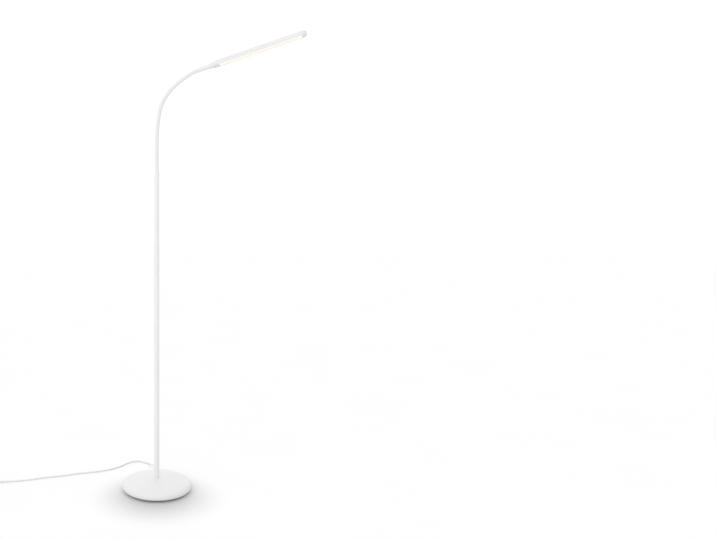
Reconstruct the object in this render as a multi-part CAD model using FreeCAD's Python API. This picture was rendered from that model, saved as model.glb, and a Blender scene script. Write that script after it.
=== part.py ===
"""Gooseneck reading floor lamp: a weighted pebble base, a slim three-piece pole, a sleeved flexible neck
and a long flat lamp head with an opal light window.

Millimetres and degrees, +Z up. The origin is on the floor under the pole's axis, and the neck bends towards +X.
"""
import FreeCAD, Part
import math
import os

V = FreeCAD.Vector
ORIGIN = V(0, 0, 0)
UP = V(0, 0, 1)
ALONG = V(1, 0, 0)
ACROSS = V(0, 1, 0)

# ------------------------------------------------------------------ driving dimensions
# weighted base
base_radius = 110.0
widest_height = 13.7        # height of the widest ring of the cover
nose_radius_top = 12.0      # rounding from the widest ring up to the dome
nose_radius_bottom = 8.5    # rounding from the widest ring down to the rim
shoulder_angle = 15.0       # slope where the rounding runs into the dome
cover_wall = 2.2
rim_width = 4.4             # flat ring under the cover, round the bottom plate
cover_seat_radius = 9.0     # flat on top of the dome that the pole stands on
pad_thickness = 4.4         # soft pad that the lamp stands on
pad_inset = 11.0            # from the rim's inner edge to the pad's edge
pad_edge = 1.2
plate_thickness = 1.5
weight_thickness = 14.5
weight_edge_chamfer = 3.0
weight_boss_radius = 16.0   # at the foot of the boss, which tapers up to the cover's seat
rim_clearance = 0.5         # weight and bottom plate inside the cover's rim

# threaded tube that ties pole, cover and weight together
nipple_radius = 5.0
nipple_bore_radius = 3.5
nipple_reach = 20.0         # length of the tube inside the pole's foot
nipple_tail = 0.4           # length of the tube past the nut
nut_across_flats = 17.0
nut_height = 5.0
washer_radius = 11.0
washer_thickness = 1.5
nut_pocket_radius = 14.0
nut_pocket_depth = 12.0

# screws of the base
screw_radius = 1.9
screw_head_radius = 3.6
screw_head_height = 2.2
base_screw_inset = 35.0     # from the rim's inner edge to the circle of screws
pad_screw_clearance = 1.4   # round each screw's head in the pad
base_screw_length = 8.0
base_screw_count = 4

# power supply in the base, cord anchorage and cord exit
exit_azimuth = 104.0        # direction in which the cord leaves, from +X
exit_height = 14.0
driver_length = 64.0
driver_width = 34.0
driver_height = 13.0
driver_gap = 10.5           # between the power supply and the clamp
pocket_clearance = 1.0
lead_height = 8.2           # height of the lead between power supply and pole
lead_bend_radius = 6.0
clamp_inset = 21.5          # from the strain relief's flange to the middle of the clamp
clamp_length = 26.0
clamp_width = 9.0
clamp_thickness = 3.0
clamp_screw_spacing = 18.0
clamp_screw_length = 7.0
relief_flange_radius = 6.0
relief_flange_thickness = 1.6
relief_neck_radius = 4.9
relief_collar_radius = 6.4
relief_collar_thickness = 2.0
relief_root_radius = 4.8
relief_tip_radius = 3.3
relief_length = 27.0
relief_groove_count = 4
relief_groove_width = 1.6
relief_groove_depth = 0.7

# pole
pole_radius = 8.0
pole_wall = 1.2
pole_top = 1003.0
pole_section_count = 3
pole_edge_chamfer = 0.4
coupler_length = 44.0
coupler_bore_radius = 4.0
foot_bush_length = 24.0
lead_radius = 1.8

# collar that holds the neck in the pole
collar_height = 29.0
collar_spigot_length = 20.0
collar_foot_height = 4.8
collar_cone_height = 3.6
collar_wall = 1.0           # of the slim body, round the neck
collar_lip_proud = 0.4
collar_lip_start = 20.4
collar_lip_height = 4.6
collar_edge_chamfer = 0.5
collar_floor_height = 9.0   # floor of the socket that the neck stands on
grub_radius = 1.4
grub_clearance = 0.1
collar_grub_height = 16.0

# flexible neck: the bend of each link in the photographed pose, from the collar up
sleeve_radius = 6.0
sleeve_wall = 1.4
core_wall = 1.9
link_pitch = 51.5
link_bends = (0.8, 3.8, 9.1, 22.7, 16.5, 8.0)
first_knuckle_height = 22.0  # above the collar
tip_run = 22.0               # from the last knuckle to the lamp head
tip_bend = 13.1
knuckle_clearance = 0.3      # between a knuckle's ball and its cup
core_setback = 0.3           # the core and the lead end this far short of the cup
wire_way_radius = 2.5

# lamp head
head_width = 38.0
head_thickness = 13.5
head_tip_distance = 328.0    # from the neck's end to the centre of the rounded tip
head_rise = 1.0              # the head's middle lies this far above the neck's axis
head_top_rounding = 3.0
head_bottom_rounding = 1.0
head_wall = 2.4
head_roof = 2.0
socket_wall = 1.0           # round the neck
socket_length = 34.0
socket_flat = 0.1            # flats that run along the nearly round socket
socket_depth = 18.0
flare_end = 64.0
flare_stations = ((0.19, 0.10), (0.40, 0.36), (0.60, 0.68), (0.80, 0.92))
plate_recess = 0.6
head_plate_thickness = 1.5
head_plate_start = 54.0
head_plate_nose = 21.0       # width of the plate at the neck end
head_plate_shoulder = 66.0   # where the plate reaches its full width
ledge_width = 0.9
head_plate_clearance = 0.15
cavity_start = 60.0
cavity_nose = 25.0
window_start = 73.0
window_end = 328.5
window_width = 28.5
diffuser_flange_overlap = 1.2
diffuser_flange_thickness = 1.0
diffuser_clearance = 0.15
spreader_start = 74.0
spreader_end = 326.0
spreader_width = 30.0
spreader_thickness = 1.5
boss_height = 1.65
boss_radius = 3.0
board_start = 78.0
board_end = 322.0
board_width = 18.0
board_thickness = 1.2
led_length = 3.5
led_width = 2.8
led_height = 0.8
led_columns = 14
led_first = 86.25
led_pitch = 17.5
led_row_offset = 5.0
board_screw_stations = (98.0, 200.0, 302.0)
board_screw_radius = 1.1
board_screw_head_radius = 2.2
board_screw_head_height = 1.3
board_screw_bite = 0.8       # depth of the screw in the roof above its boss
control_start = 68.0
control_length = 20.0
control_width = 18.0
control_thickness = 1.2
chip_inset = 0.5
chip_length = 4.0
chip_width = 6.0
chip_height = 1.0
touch_distance = 78.0
touch_radius = 5.5
touch_thickness = 1.0
touch_proud = 0.15
touch_pin_radius = 0.8
socket_grub_distance = 9.0

# mains cord, its coil, its tie and its plug
cord_diameter = 4.8
cord_first_run = 26.0        # straight out of the strain relief
cord_route = (               # control points of the free stretch after that run
    (-56.0, 188.0, 6.0),
    (-82.0, 213.0, 2.4),
    (-121.0, 228.0, 2.4),
    (-149.0, 199.0, 2.4),
    (-165.0, 157.0, 2.4),
    (-194.0, 122.0, 2.4),
    (-235.0, 92.0, 2.4),
    (-284.0, 69.0, 2.4),
    (-332.0, 34.0, 2.4),
    (-382.0, 10.0, 2.4),
    (-429.0, -23.0, 2.4),
    (-477.0, -46.0, 2.4),
    (-520.0, -61.0, 3.2),
    (-558.0, -78.0, 3.2),
)
coil_outer_radius = 31.5     # of the wire's middle in the outermost turn of the lower layer
coil_gap = 0.6               # between turns side by side
coil_layer_gap = 0.5         # between the two layers
coil_lower_turns = 2.0
coil_upper_turns = 3.75
tie_thickness = 0.7
tie_width = 8.0
tie_clearance = 0.3
plug_thickness = 14.0
plug_width = 34.0
plug_boot_length = 16.0
plug_boot_radius = 4.6
plug_body_length = 36.0
plug_pin_radius = 2.0
plug_pin_length = 19.0
plug_pin_spacing = 18.6

# general running and seating clearances
fit_clearance = 0.05
slip_clearance = 0.1
overcut = 1.0               # a cutter runs this far past the face that it opens


# ------------------------------------------------------------------ shape helpers
def turned(points, axis_point=ORIGIN):
    """Solid of revolution about the vertical through axis_point, from a closed outline of (radius, height)."""
    corners = [axis_point + V(r, 0, z) for r, z in points]
    face = Part.Face(Part.makePolygon(corners + corners[:1]))
    return face.revolve(axis_point, UP, 360)


def tube(outer, inner, bottom, height):
    """Upright tube on the pole's axis."""
    return turned(((inner, bottom), (outer, bottom), (outer, bottom + height), (inner, bottom + height)))


def block(x0, x1, width, z0, z1):
    """Box from x0 to x1, centred across, from z0 to z1."""
    return Part.makeBox(x1 - x0, width, z1 - z0, V(x0, -width / 2, z0))


def arc(start, middle, end):
    """Edge: the arc through three points."""
    return Part.Arc(start, middle, end).toShape()


def line(start, end):
    """Edge: the straight run between two points."""
    return Part.LineSegment(start, end).toShape()


def polar(centre, radius, angle):
    """Point in the XZ plane at an angle above +X."""
    return centre + V(radius * math.cos(math.radians(angle)), 0, radius * math.sin(math.radians(angle)))


def fused(first, *others):
    """One solid without inner seams."""
    return first.fuse(list(others)).removeSplitter()


def write(node, shape):
    """Writes one sub-part and reports anything that isn't a sound solid."""
    solids = shape.Solids
    if not solids or not shape.isValid():
        print("CHECK", node, "solids", len(solids), "valid", shape.isValid())
    if len(solids) == 1:
        shape = solids[0]
    else:
        shape = Part.makeCompound(solids)
    shape.exportStep("parts/" + node + ".step")
    return shape


# ------------------------------------------------------------------ weighted base
def to_exit(shape):
    """Turns a shape drawn with the cord leaving along +X to the cord's real direction."""
    return shape.rotated(ORIGIN, UP, exit_azimuth)


nose_centre_top = V(base_radius - nose_radius_top, 0, widest_height)
nose_centre_bottom = V(base_radius - nose_radius_bottom, 0, widest_height)
shoulder_start = 90 - shoulder_angle
shoulder = polar(nose_centre_top, nose_radius_top, shoulder_start)
dome_radius = shoulder.x / math.sin(math.radians(shoulder_angle))
dome_centre = V(0, 0, shoulder.z - dome_radius * math.cos(math.radians(shoulder_angle)))
rim_height = widest_height - nose_radius_bottom
rim_inner_radius = base_radius - nose_radius_bottom - rim_width
weight_radius = rim_inner_radius - rim_clearance
weight_bottom = pad_thickness + plate_thickness
weight_top = weight_bottom + weight_thickness


def dome_height(radius, depth=0.0):
    """Height of the dome at a radius, on the surface that lies depth below the outside."""
    return dome_centre.z + math.sqrt((dome_radius - depth) ** 2 - radius ** 2)


seat_height = dome_height(cover_seat_radius)
seat_underside = dome_height(cover_seat_radius, cover_wall)
nipple_hole_radius = nipple_radius + slip_clearance


def dome_arc(depth):
    """Arc of the dome's section from the seat to the shoulder, depth below the outside."""
    radius = dome_radius - depth
    seat_end = V(cover_seat_radius, 0, dome_height(cover_seat_radius, depth))
    return arc(seat_end, polar(dome_centre, radius, 90 - shoulder_angle / 2),
               polar(dome_centre, radius, shoulder_start))


def nose_arcs(depth):
    """Arcs of the rounded side from the shoulder through the widest ring to the rim."""
    top = nose_radius_top - depth
    bottom = nose_radius_bottom - depth
    return [
        arc(polar(nose_centre_top, top, shoulder_start), polar(nose_centre_top, top, shoulder_start / 2),
            polar(nose_centre_top, top, 0)),
        arc(polar(nose_centre_bottom, bottom, 0), polar(nose_centre_bottom, bottom, -45),
            polar(nose_centre_bottom, bottom, -90)),
    ]


def base_cover():
    """Domed cover: a revolved skin of even wall with a rim turned in underneath and a hole for the cord."""
    rim_outside = polar(nose_centre_bottom, nose_radius_bottom, -90)
    rim_inside = polar(nose_centre_bottom, nose_radius_bottom - cover_wall, -90)
    edges = [line(V(nipple_hole_radius, 0, seat_height), V(cover_seat_radius, 0, seat_height)), dome_arc(0)]
    edges += nose_arcs(0)
    edges += [
        line(rim_outside, V(rim_inner_radius, 0, rim_outside.z)),
        line(V(rim_inner_radius, 0, rim_outside.z), V(rim_inner_radius, 0, rim_inside.z)),
        line(V(rim_inner_radius, 0, rim_inside.z), rim_inside),
    ]
    edges += nose_arcs(cover_wall)
    edges += [
        dome_arc(cover_wall),
        line(V(cover_seat_radius, 0, seat_underside), V(nipple_hole_radius, 0, seat_underside)),
        line(V(nipple_hole_radius, 0, seat_underside), V(nipple_hole_radius, 0, seat_height)),
    ]
    section = Part.Wire(Part.sortEdges(edges)[0])
    skin = Part.Face(section).revolve(ORIGIN, UP, 360)
    hole = Part.makeCylinder(relief_neck_radius + slip_clearance, base_radius, V(0, 0, exit_height), ALONG)
    hole = hole.cut(Part.makeCylinder(relief_start, base_radius))
    return skin.cut(to_exit(hole))


relief_start = base_radius - nose_radius_bottom        # inner face of the strain relief's flange
cord_radius = cord_diameter / 2
cord_bed = exit_height - cord_radius
clamp_seat = exit_height + cord_radius
clamp_distance = relief_start - clamp_inset
driver_outer = clamp_distance - clamp_width / 2 - driver_gap
driver_inner = driver_outer - driver_width
nut_pocket_top = weight_bottom + nut_pocket_depth
base_screw_circle = rim_inner_radius - base_screw_inset
base_screw_angles = [45 + 360 / base_screw_count * i for i in range(base_screw_count)]


def base_weight():
    """Cast weight with a centre boss, a nut pocket, a bay for the power supply and a bed for the cord."""
    chamfer = weight_edge_chamfer
    body = turned((
        (0, weight_bottom), (weight_radius, weight_bottom), (weight_radius, weight_top - chamfer),
        (weight_radius - chamfer, weight_top), (weight_boss_radius, weight_top),
        (cover_seat_radius, seat_underside), (0, seat_underside),
    ))
    cuts = [
        Part.makeCylinder(nipple_hole_radius, seat_underside),
        Part.makeCylinder(nut_pocket_radius, nut_pocket_top),
        block(driver_inner - pocket_clearance, driver_outer + pocket_clearance,
              driver_length + 2 * pocket_clearance, 0, seat_underside),
        block(driver_outer, base_radius, cord_diameter + 2 * pocket_clearance, cord_bed, seat_underside),
        block(0, driver_inner, 2 * (lead_radius + pocket_clearance), 0,
              lead_height + lead_radius + pocket_clearance),
        block(clamp_distance - clamp_width / 2 - slip_clearance, clamp_distance + clamp_width / 2 + slip_clearance,
              clamp_length + 2 * slip_clearance, clamp_seat, seat_underside),
    ]
    for side in (-1, 1):
        spot = V(clamp_distance, side * clamp_screw_spacing / 2, clamp_seat + clamp_thickness - clamp_screw_length)
        cuts.append(Part.makeCylinder(screw_radius + fit_clearance, clamp_screw_length, spot))
    for angle in base_screw_angles:
        hole = Part.makeCylinder(screw_radius + fit_clearance, base_screw_length,
                                 V(base_screw_circle, 0, pad_thickness))
        cuts.append(hole.rotated(ORIGIN, UP, angle))
    return to_exit(body.cut(cuts))


def plate_screw_holes(radius):
    """Upright holes at the bottom plate's screws."""
    hole = Part.makeCylinder(radius, weight_top, V(base_screw_circle, 0, 0))
    return [hole.rotated(ORIGIN, UP, angle) for angle in base_screw_angles]


def base_plate():
    """Sheet steel plate that closes the base from below."""
    disc = Part.makeCylinder(weight_radius, plate_thickness, V(0, 0, pad_thickness))
    return to_exit(disc.cut(plate_screw_holes(screw_radius + slip_clearance)))


def pan_screw(seat, direction, length, radius, head_radius, head_height):
    """Pan-head screw whose head rests at seat and whose shank runs along direction."""
    shank = Part.makeCylinder(radius, length, seat, direction)
    head = Part.makeCone(head_radius, 0.72 * head_radius, head_height, seat, -direction)
    return fused(shank, head)


def base_screws():
    """Four screws through the bottom plate and two in the cord clamp, all the same size."""
    screws = []
    for angle in base_screw_angles:
        screw = pan_screw(V(base_screw_circle, 0, pad_thickness), UP, base_screw_length,
                          screw_radius, screw_head_radius, screw_head_height)
        screws.append(screw.rotated(ORIGIN, UP, angle))
    for side in (-1, 1):
        seat = V(clamp_distance, side * clamp_screw_spacing / 2, clamp_seat + clamp_thickness)
        screws.append(pan_screw(seat, -UP, clamp_screw_length, screw_radius, screw_head_radius, screw_head_height))
    return to_exit(Part.makeCompound(screws))


def base_pad():
    """Soft foam disc under the plate, with its lower edge broken and a hole round each screw's head."""
    radius = rim_inner_radius - pad_inset
    disc = turned(((0, 0), (radius - pad_edge, 0), (radius, pad_edge), (radius, pad_thickness), (0, pad_thickness)))
    return to_exit(disc.cut(plate_screw_holes(screw_head_radius + pad_screw_clearance)))


nut_bottom = nut_pocket_top - washer_thickness - nut_height
nipple_bottom = nut_bottom - nipple_tail


def base_nipple():
    """Threaded tube from the nut under the weight up into the pole's foot."""
    return tube(nipple_radius, nipple_bore_radius, nipple_bottom, seat_height + nipple_reach - nipple_bottom)


def base_washer():
    """Washer between nut and weight."""
    return tube(washer_radius, nipple_hole_radius, nut_pocket_top - washer_thickness, washer_thickness)


def base_nut():
    """Hexagon nut on the threaded tube."""
    corner_radius = nut_across_flats / 2 / math.cos(math.radians(30))
    corners = [FreeCAD.Rotation(UP, 60 * i).multVec(V(corner_radius, 0, nut_bottom)) for i in range(7)]
    prism = Part.Face(Part.makePolygon(corners)).extrude(V(0, 0, nut_height))
    return prism.cut(Part.makeCylinder(nipple_radius + fit_clearance, seat_height))


def led_driver():
    """Flat power supply box standing on the bottom plate."""
    box = block(driver_inner, driver_outer, driver_length, weight_bottom, weight_bottom + driver_height)
    return to_exit(box.makeChamfer(0.8, [e for e in box.Edges if abs(e.tangentAt(0).z) > 0.9]))


def cord_clamp():
    """Bar that grips the cord in its bed."""
    bar = block(clamp_distance - clamp_width / 2, clamp_distance + clamp_width / 2, clamp_length,
                clamp_seat, clamp_seat + clamp_thickness)
    holes = []
    for side in (-1, 1):
        holes.append(Part.makeCylinder(screw_radius + slip_clearance, seat_height,
                                       V(clamp_distance, side * clamp_screw_spacing / 2, 0)))
    return to_exit(bar.cut(holes))


relief_outside = base_radius + slip_clearance
relief_end = relief_outside + relief_collar_thickness + relief_length


def along_exit(points):
    """Solid turned about the cord's exit line from a closed outline of (distance from the pole's axis, radius)."""
    corners = [V(x, 0, exit_height + r) for x, r in points]
    face = Part.Face(Part.makePolygon(corners + corners[:1]))
    return to_exit(face.revolve(V(0, 0, exit_height), ALONG, 360))


def strain_relief():
    """Soft bend relief: flange inside the cover, collar outside and a grooved taper round the cord."""
    bore = cord_radius + slip_clearance
    taper_start = relief_outside + relief_collar_thickness
    slope = (relief_root_radius - relief_tip_radius) / relief_length
    outline = [
        (relief_start, bore), (relief_start, relief_flange_radius),
        (relief_start + relief_flange_thickness, relief_flange_radius),
        (relief_start + relief_flange_thickness, relief_neck_radius),
        (relief_outside, relief_neck_radius), (relief_outside, relief_collar_radius),
        (taper_start, relief_collar_radius), (taper_start, relief_root_radius),
    ]
    pitch = relief_length / (relief_groove_count + 0.6)
    for i in range(relief_groove_count):
        start = taper_start + pitch * (i + 0.6)
        radius = relief_root_radius - slope * (start - taper_start)
        outline += [
            (start, radius), (start, radius - relief_groove_depth),
            (start + relief_groove_width, radius - relief_groove_depth - slope * relief_groove_width),
            (start + relief_groove_width, radius - slope * relief_groove_width),
        ]
    outline += [(relief_end, relief_tip_radius), (relief_end, bore)]
    return along_exit(outline)


def inner_cord():
    """The cord's own end, from the power supply under the clamp and out through the strain relief."""
    return along_exit(((driver_outer, 0), (driver_outer, cord_radius), (relief_end, cord_radius), (relief_end, 0)))


# ------------------------------------------------------------------ pole
pole_bore_radius = pole_radius - pole_wall
section_length = (pole_top - seat_height) / pole_section_count
insert_radius = pole_bore_radius - fit_clearance


def pole_section(number):
    """One steel tube of the pole, with its end edges broken."""
    bottom = seat_height + number * section_length
    top = bottom + section_length
    edge = pole_edge_chamfer
    return turned((
        (pole_bore_radius, bottom), (pole_radius - edge, bottom), (pole_radius, bottom + edge),
        (pole_radius, top - edge), (pole_radius - edge, top), (pole_bore_radius, top),
    ))


def pole_couplers():
    """Threaded studs hidden inside the pole, one at each joint between its tubes."""
    studs = []
    for number in range(1, pole_section_count):
        joint = seat_height + number * section_length
        studs.append(tube(insert_radius, coupler_bore_radius, joint - coupler_length / 2, coupler_length))
    return Part.makeCompound(studs)


def pole_foot_bush():
    """Threaded bush pressed into the pole's foot, which screws onto the threaded tube."""
    return tube(insert_radius, nipple_radius + fit_clearance, seat_height, foot_bush_length)


# ------------------------------------------------------------------ neck
collar_top = pole_top + collar_height
sleeve_bore_radius = sleeve_radius - sleeve_wall
core_radius = sleeve_bore_radius - slip_clearance
core_bore_radius = core_radius - core_wall
cup_radius = sleeve_radius + knuckle_clearance
collar_radius = sleeve_radius + collar_wall
collar_lip_radius = collar_radius + collar_lip_proud


class Run:
    """A stretch of the neck's centreline in the XZ plane: where it starts, how it leans there and how it bends."""

    def __init__(self, start, lean, length, bend):
        self.start = start
        self.lean = lean
        self.length = length
        self.bend = bend
        self.direction = V(math.sin(math.radians(lean)), 0, math.cos(math.radians(lean)))
        if bend:
            radius = length / math.radians(bend)
            self.centre = start + V(self.direction.z, 0, -self.direction.x) * radius
            self.end = self.centre + FreeCAD.Rotation(ACROSS, bend).multVec(start - self.centre)
        else:
            self.end = start + self.direction * length
        self.end_lean = lean + bend
        self.end_direction = V(math.sin(math.radians(self.end_lean)), 0, math.cos(math.radians(self.end_lean)))

    def rod(self, radius, short=0.0):
        """Round bar along the run, which stops short of its end by that length."""
        if not self.bend:
            return Part.makeCylinder(radius, self.length - short, self.start, self.direction)
        disc = Part.Face(Part.Wire(Part.makeCircle(radius, self.start, self.direction)))
        return disc.revolve(self.centre, ACROSS, self.bend * (1 - short / self.length))

    def ball_end(self, radius):
        """The half ball behind the run's start, which turns in the cup before it."""
        return Part.makeSphere(radius, self.start, self.direction, -90, 0, 360)


def neck_runs():
    """The neck's runs from the collar to the lamp head: foot, links and tip."""
    floor = pole_top + collar_floor_height
    runs = [Run(V(0, 0, floor), 0, collar_top + first_knuckle_height - floor, 0)]
    for bend in link_bends:
        runs.append(Run(runs[-1].end, runs[-1].end_lean, link_pitch, bend))
    runs.append(Run(runs[-1].end, runs[-1].end_lean, tip_run, tip_bend))
    return runs


runs = neck_runs()
foot_run = runs[0]
links = runs[1:-1]
tip = runs[-1]
way_behind = sleeve_radius + overcut


def wire_way(run):
    """Round hole through a knuckle's ball for the lead."""
    return Part.makeCylinder(wire_way_radius, way_behind, run.start - run.direction * way_behind, run.direction)


def sleeve(run, ball, cup):
    """Outer sleeve of one run: a tube with a ball behind it and a cup at its end."""
    outside = run.rod(sleeve_radius)
    inside = run.rod(sleeve_bore_radius)
    if ball:
        outside = fused(outside, run.ball_end(sleeve_radius))
        inside = fused(inside, run.ball_end(sleeve_bore_radius))
    shape = outside.cut(inside)
    if ball:
        shape = shape.cut(wire_way(run))
    if cup:
        shape = shape.cut(Part.makeSphere(cup_radius, run.end))
    return shape


def core(run, ball, short):
    """Wound steel core inside the sleeve, closed up as a tube."""
    outside = run.rod(core_radius, short)
    inside = run.rod(core_bore_radius, short)
    if ball:
        outside = fused(outside, run.ball_end(core_radius))
        inside = fused(inside, Part.makeCylinder(core_bore_radius, way_behind,
                                                 run.start - run.direction * way_behind, run.direction))
    return outside.cut(inside)


cup_depth = cup_radius + core_setback
lead_back = math.sqrt(sleeve_radius ** 2 - lead_radius ** 2) - core_setback


def lead(run):
    """Lead inside one link, from its ball to just before the next one."""
    start = run.start - run.direction * lead_back
    return fused(run.rod(lead_radius, cup_depth), Part.makeCylinder(lead_radius, lead_back, start, run.direction))


def foot_sleeve():
    """Sleeve that stands in the collar, with the first cup on top."""
    return sleeve(foot_run, False, True)


def tip_sleeve():
    """Sleeve between the last knuckle and the lamp head, with its end inside the head's socket."""
    end = Run(tip.end, tip.end_lean, socket_depth, 0)
    outside = fused(tip.rod(sleeve_radius), tip.ball_end(sleeve_radius), end.rod(sleeve_radius))
    inside = fused(tip.rod(sleeve_bore_radius), tip.ball_end(sleeve_bore_radius), end.rod(sleeve_bore_radius))
    return outside.cut(inside).cut(wire_way(tip))


def tip_core():
    """Steel core of the neck's last stretch."""
    end = Run(tip.end, tip.end_lean, socket_depth, 0)
    way = Part.makeCylinder(core_bore_radius, way_behind, tip.start - tip.direction * way_behind, tip.direction)
    outside = fused(tip.rod(core_radius), tip.ball_end(core_radius), end.rod(core_radius))
    return outside.cut(fused(tip.rod(core_bore_radius), way, end.rod(core_bore_radius)))


def pole_lead():
    """Lead from the power supply through the threaded tube and the pole to the first knuckle."""
    bend = lead_bend_radius
    turn = bend * math.sqrt(0.5)
    top = foot_run.end.z - cup_depth
    path = Part.Wire([
        line(V(driver_inner, 0, lead_height), V(bend, 0, lead_height)),
        arc(V(bend, 0, lead_height), V(bend - turn, 0, lead_height + bend - turn), V(0, 0, lead_height + bend)),
        line(V(0, 0, lead_height + bend), V(0, 0, top)),
    ])
    section = Part.Wire(Part.makeCircle(lead_radius, V(driver_inner, 0, lead_height), ALONG))
    return to_exit(path.makePipeShell([section], True, False))


def grub(start, direction, length):
    """Headless screw."""
    return Part.makeCylinder(grub_radius, length, start, direction)


collar_grub_spot = V(0, sleeve_radius + fit_clearance, pole_top + collar_grub_height)


def neck_collar():
    """Turned collar: spigot in the pole, foot ring as wide as the pole, cone, slim body and lip."""
    edge = collar_edge_chamfer
    cone_top = collar_foot_height + collar_cone_height
    lip_end = collar_lip_start + collar_lip_height
    outline = (
        (nipple_bore_radius, -collar_spigot_length), (insert_radius, -collar_spigot_length), (insert_radius, 0),
        (pole_radius - pole_edge_chamfer, 0), (pole_radius, pole_edge_chamfer), (pole_radius, collar_foot_height),
        (collar_radius, cone_top), (collar_radius, collar_lip_start),
        (collar_lip_radius, collar_lip_start + edge), (collar_lip_radius, lip_end - edge),
        (collar_radius, lip_end), (collar_radius, collar_height - edge), (collar_radius - edge, collar_height),
        (sleeve_radius + slip_clearance, collar_height), (sleeve_radius + slip_clearance, collar_floor_height),
        (nipple_bore_radius, collar_floor_height),
    )
    body = turned([(r, pole_top + z) for r, z in outline])
    hole = Part.makeCylinder(grub_radius + grub_clearance, collar_lip_radius,
                             V(0, 0, collar_grub_spot.z), ACROSS)
    return body.cut(hole)


def collar_screw():
    """Grub screw that holds the neck in the collar."""
    return grub(collar_grub_spot, ACROSS, collar_radius - collar_grub_spot.y)


# ------------------------------------------------------------------ lamp head, drawn along +X from the neck's end
head_place = FreeCAD.Placement(tip.end, FreeCAD.Rotation(ACROSS, tip.end_lean - 90))
half_width = head_width / 2
socket_radius = sleeve_radius + socket_wall
head_bottom = head_rise - head_thickness / 2
head_top = head_rise + head_thickness / 2
plate_bottom = head_bottom + plate_recess
plate_top = plate_bottom + head_plate_thickness
roof_height = head_top - head_roof
spreader_top = roof_height - boss_height
board_top = spreader_top - spreader_thickness
led_top = board_top - board_thickness
plate_half = half_width - head_wall
ledge_half = plate_half - ledge_width


def to_head(shape):
    """Moves a shape drawn along +X to the lamp head's place at the end of the neck."""
    shape.Placement = head_place.multiply(shape.Placement)
    return shape


def rounded_section(x, width, bottom, top, bottom_rounding, top_rounding):
    """Closed outline across the head at x: a rectangle with its upper and lower corners rounded."""
    edges = []
    last = None
    corners = (
        (width / 2, bottom, -90, bottom_rounding), (width / 2, top, 0, top_rounding),
        (-width / 2, top, 90, top_rounding), (-width / 2, bottom, 180, bottom_rounding),
    )
    for y, z, start, rounding in corners:
        centre = V(x, y - math.copysign(rounding, y), z + (rounding if z == bottom else -rounding))
        spots = []
        for angle in (start, start + 45, start + 90):
            turn = math.radians(angle)
            spots.append(centre + V(0, math.cos(turn), math.sin(turn)) * rounding)
        if last is not None:
            edges.append(line(last, spots[0]))
        edges.append(arc(*spots))
        last = spots[2]
    edges.append(line(last, edges[0].Vertexes[0].Point))
    return Part.Wire(edges)


def flare_section(x, share):
    """Outline of the head at x, which has gone that share of the way from the round socket to the full section."""
    narrow = socket_radius - socket_flat / 2
    width = 2 * socket_radius + share * (head_width - 2 * socket_radius)
    bottom = -socket_radius + share * (head_bottom + socket_radius)
    top = socket_radius + share * (head_top - socket_radius)
    return rounded_section(x, width, bottom, top, narrow + share * (head_bottom_rounding - narrow),
                           narrow + share * (head_top_rounding - narrow))


def flare():
    """Socket for the neck and the smooth widening from it to the head's full section."""
    socket = Part.Face(flare_section(0, 0)).extrude(V(socket_length, 0, 0))
    sections = []
    for along, share in ((0, 0),) + flare_stations + ((1, 1),):
        sections.append(flare_section(socket_length + along * (flare_end - socket_length), share))
    return socket, Part.makeLoft(sections, True, False)


def straight_body():
    """Full section from the flare to the tip, and the tip, which is half of the section turned about its end."""
    outline = rounded_section(flare_end, head_width, head_bottom, head_top,
                              head_bottom_rounding, head_top_rounding)
    face = Part.Face(outline)
    bar = face.extrude(V(head_tip_distance - flare_end, 0, 0))
    half = face.common(Part.makeBox(2 * overcut, head_width, 2 * head_thickness,
                                    V(flare_end - overcut, 0, head_bottom - overcut)))
    half.translate(V(head_tip_distance - flare_end, 0, 0))
    nose = half.Faces[0].revolve(V(head_tip_distance, 0, 0), -UP, 180)
    return fused(bar, nose)


def plan(start, nose_width, shoulder_x, half, z0, z1):
    """Upright solid of the head's inner plan: tapered at the neck end and round at the tip."""
    low = [V(start, -nose_width / 2, z0), V(shoulder_x, -half, z0), V(head_tip_distance, -half, z0)]
    high = [V(p.x, -p.y, z0) for p in reversed(low)]
    edges = [line(low[0], low[1]), line(low[1], low[2]),
             arc(low[2], V(head_tip_distance + half, 0, z0), high[0]),
             line(high[0], high[1]), line(high[1], high[2]), line(high[2], low[0])]
    return Part.Face(Part.Wire(edges)).extrude(V(0, 0, z1 - z0))


def head_housing():
    """Moulded housing: socket, flare and long channel, open below onto the ledge that the plate rests on."""
    socket, widening = flare()
    shell = fused(socket, widening, straight_body())
    mouth = plan(head_plate_start - head_plate_clearance, head_plate_nose + 2 * head_plate_clearance,
                 head_plate_shoulder, plate_half + head_plate_clearance, head_bottom - overcut, plate_top)
    room = plan(cavity_start, cavity_nose, head_plate_shoulder, ledge_half, plate_top - overcut, roof_height)
    cuts = [
        mouth,
        room,
        Part.makeCylinder(sleeve_radius + slip_clearance, socket_depth + overcut, V(-overcut, 0, 0), ALONG),
        Part.makeCylinder(nipple_bore_radius, cavity_start, V(0, 0, 0), ALONG),
        Part.makeCylinder(grub_radius + grub_clearance, 2 * socket_radius, V(socket_grub_distance, 0, 0), -UP),
        Part.makeCylinder(touch_radius + slip_clearance, head_thickness,
                          V(touch_distance, 0, head_top + touch_proud - touch_thickness)),
        Part.makeCylinder(touch_pin_radius + slip_clearance, head_thickness, V(touch_distance, 0, 0)),
    ]
    shell = shell.cut(cuts)
    bosses = [Part.makeCylinder(boss_radius, boss_height + head_roof / 4, V(x, 0, spreader_top))
              for x in board_screw_stations]
    shell = fused(shell, *bosses)
    holes = [Part.makeCylinder(board_screw_radius + fit_clearance, boss_height + board_screw_bite + slip_clearance,
                               V(x, 0, spreader_top)) for x in board_screw_stations]
    return to_head(shell.cut(holes))


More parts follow.
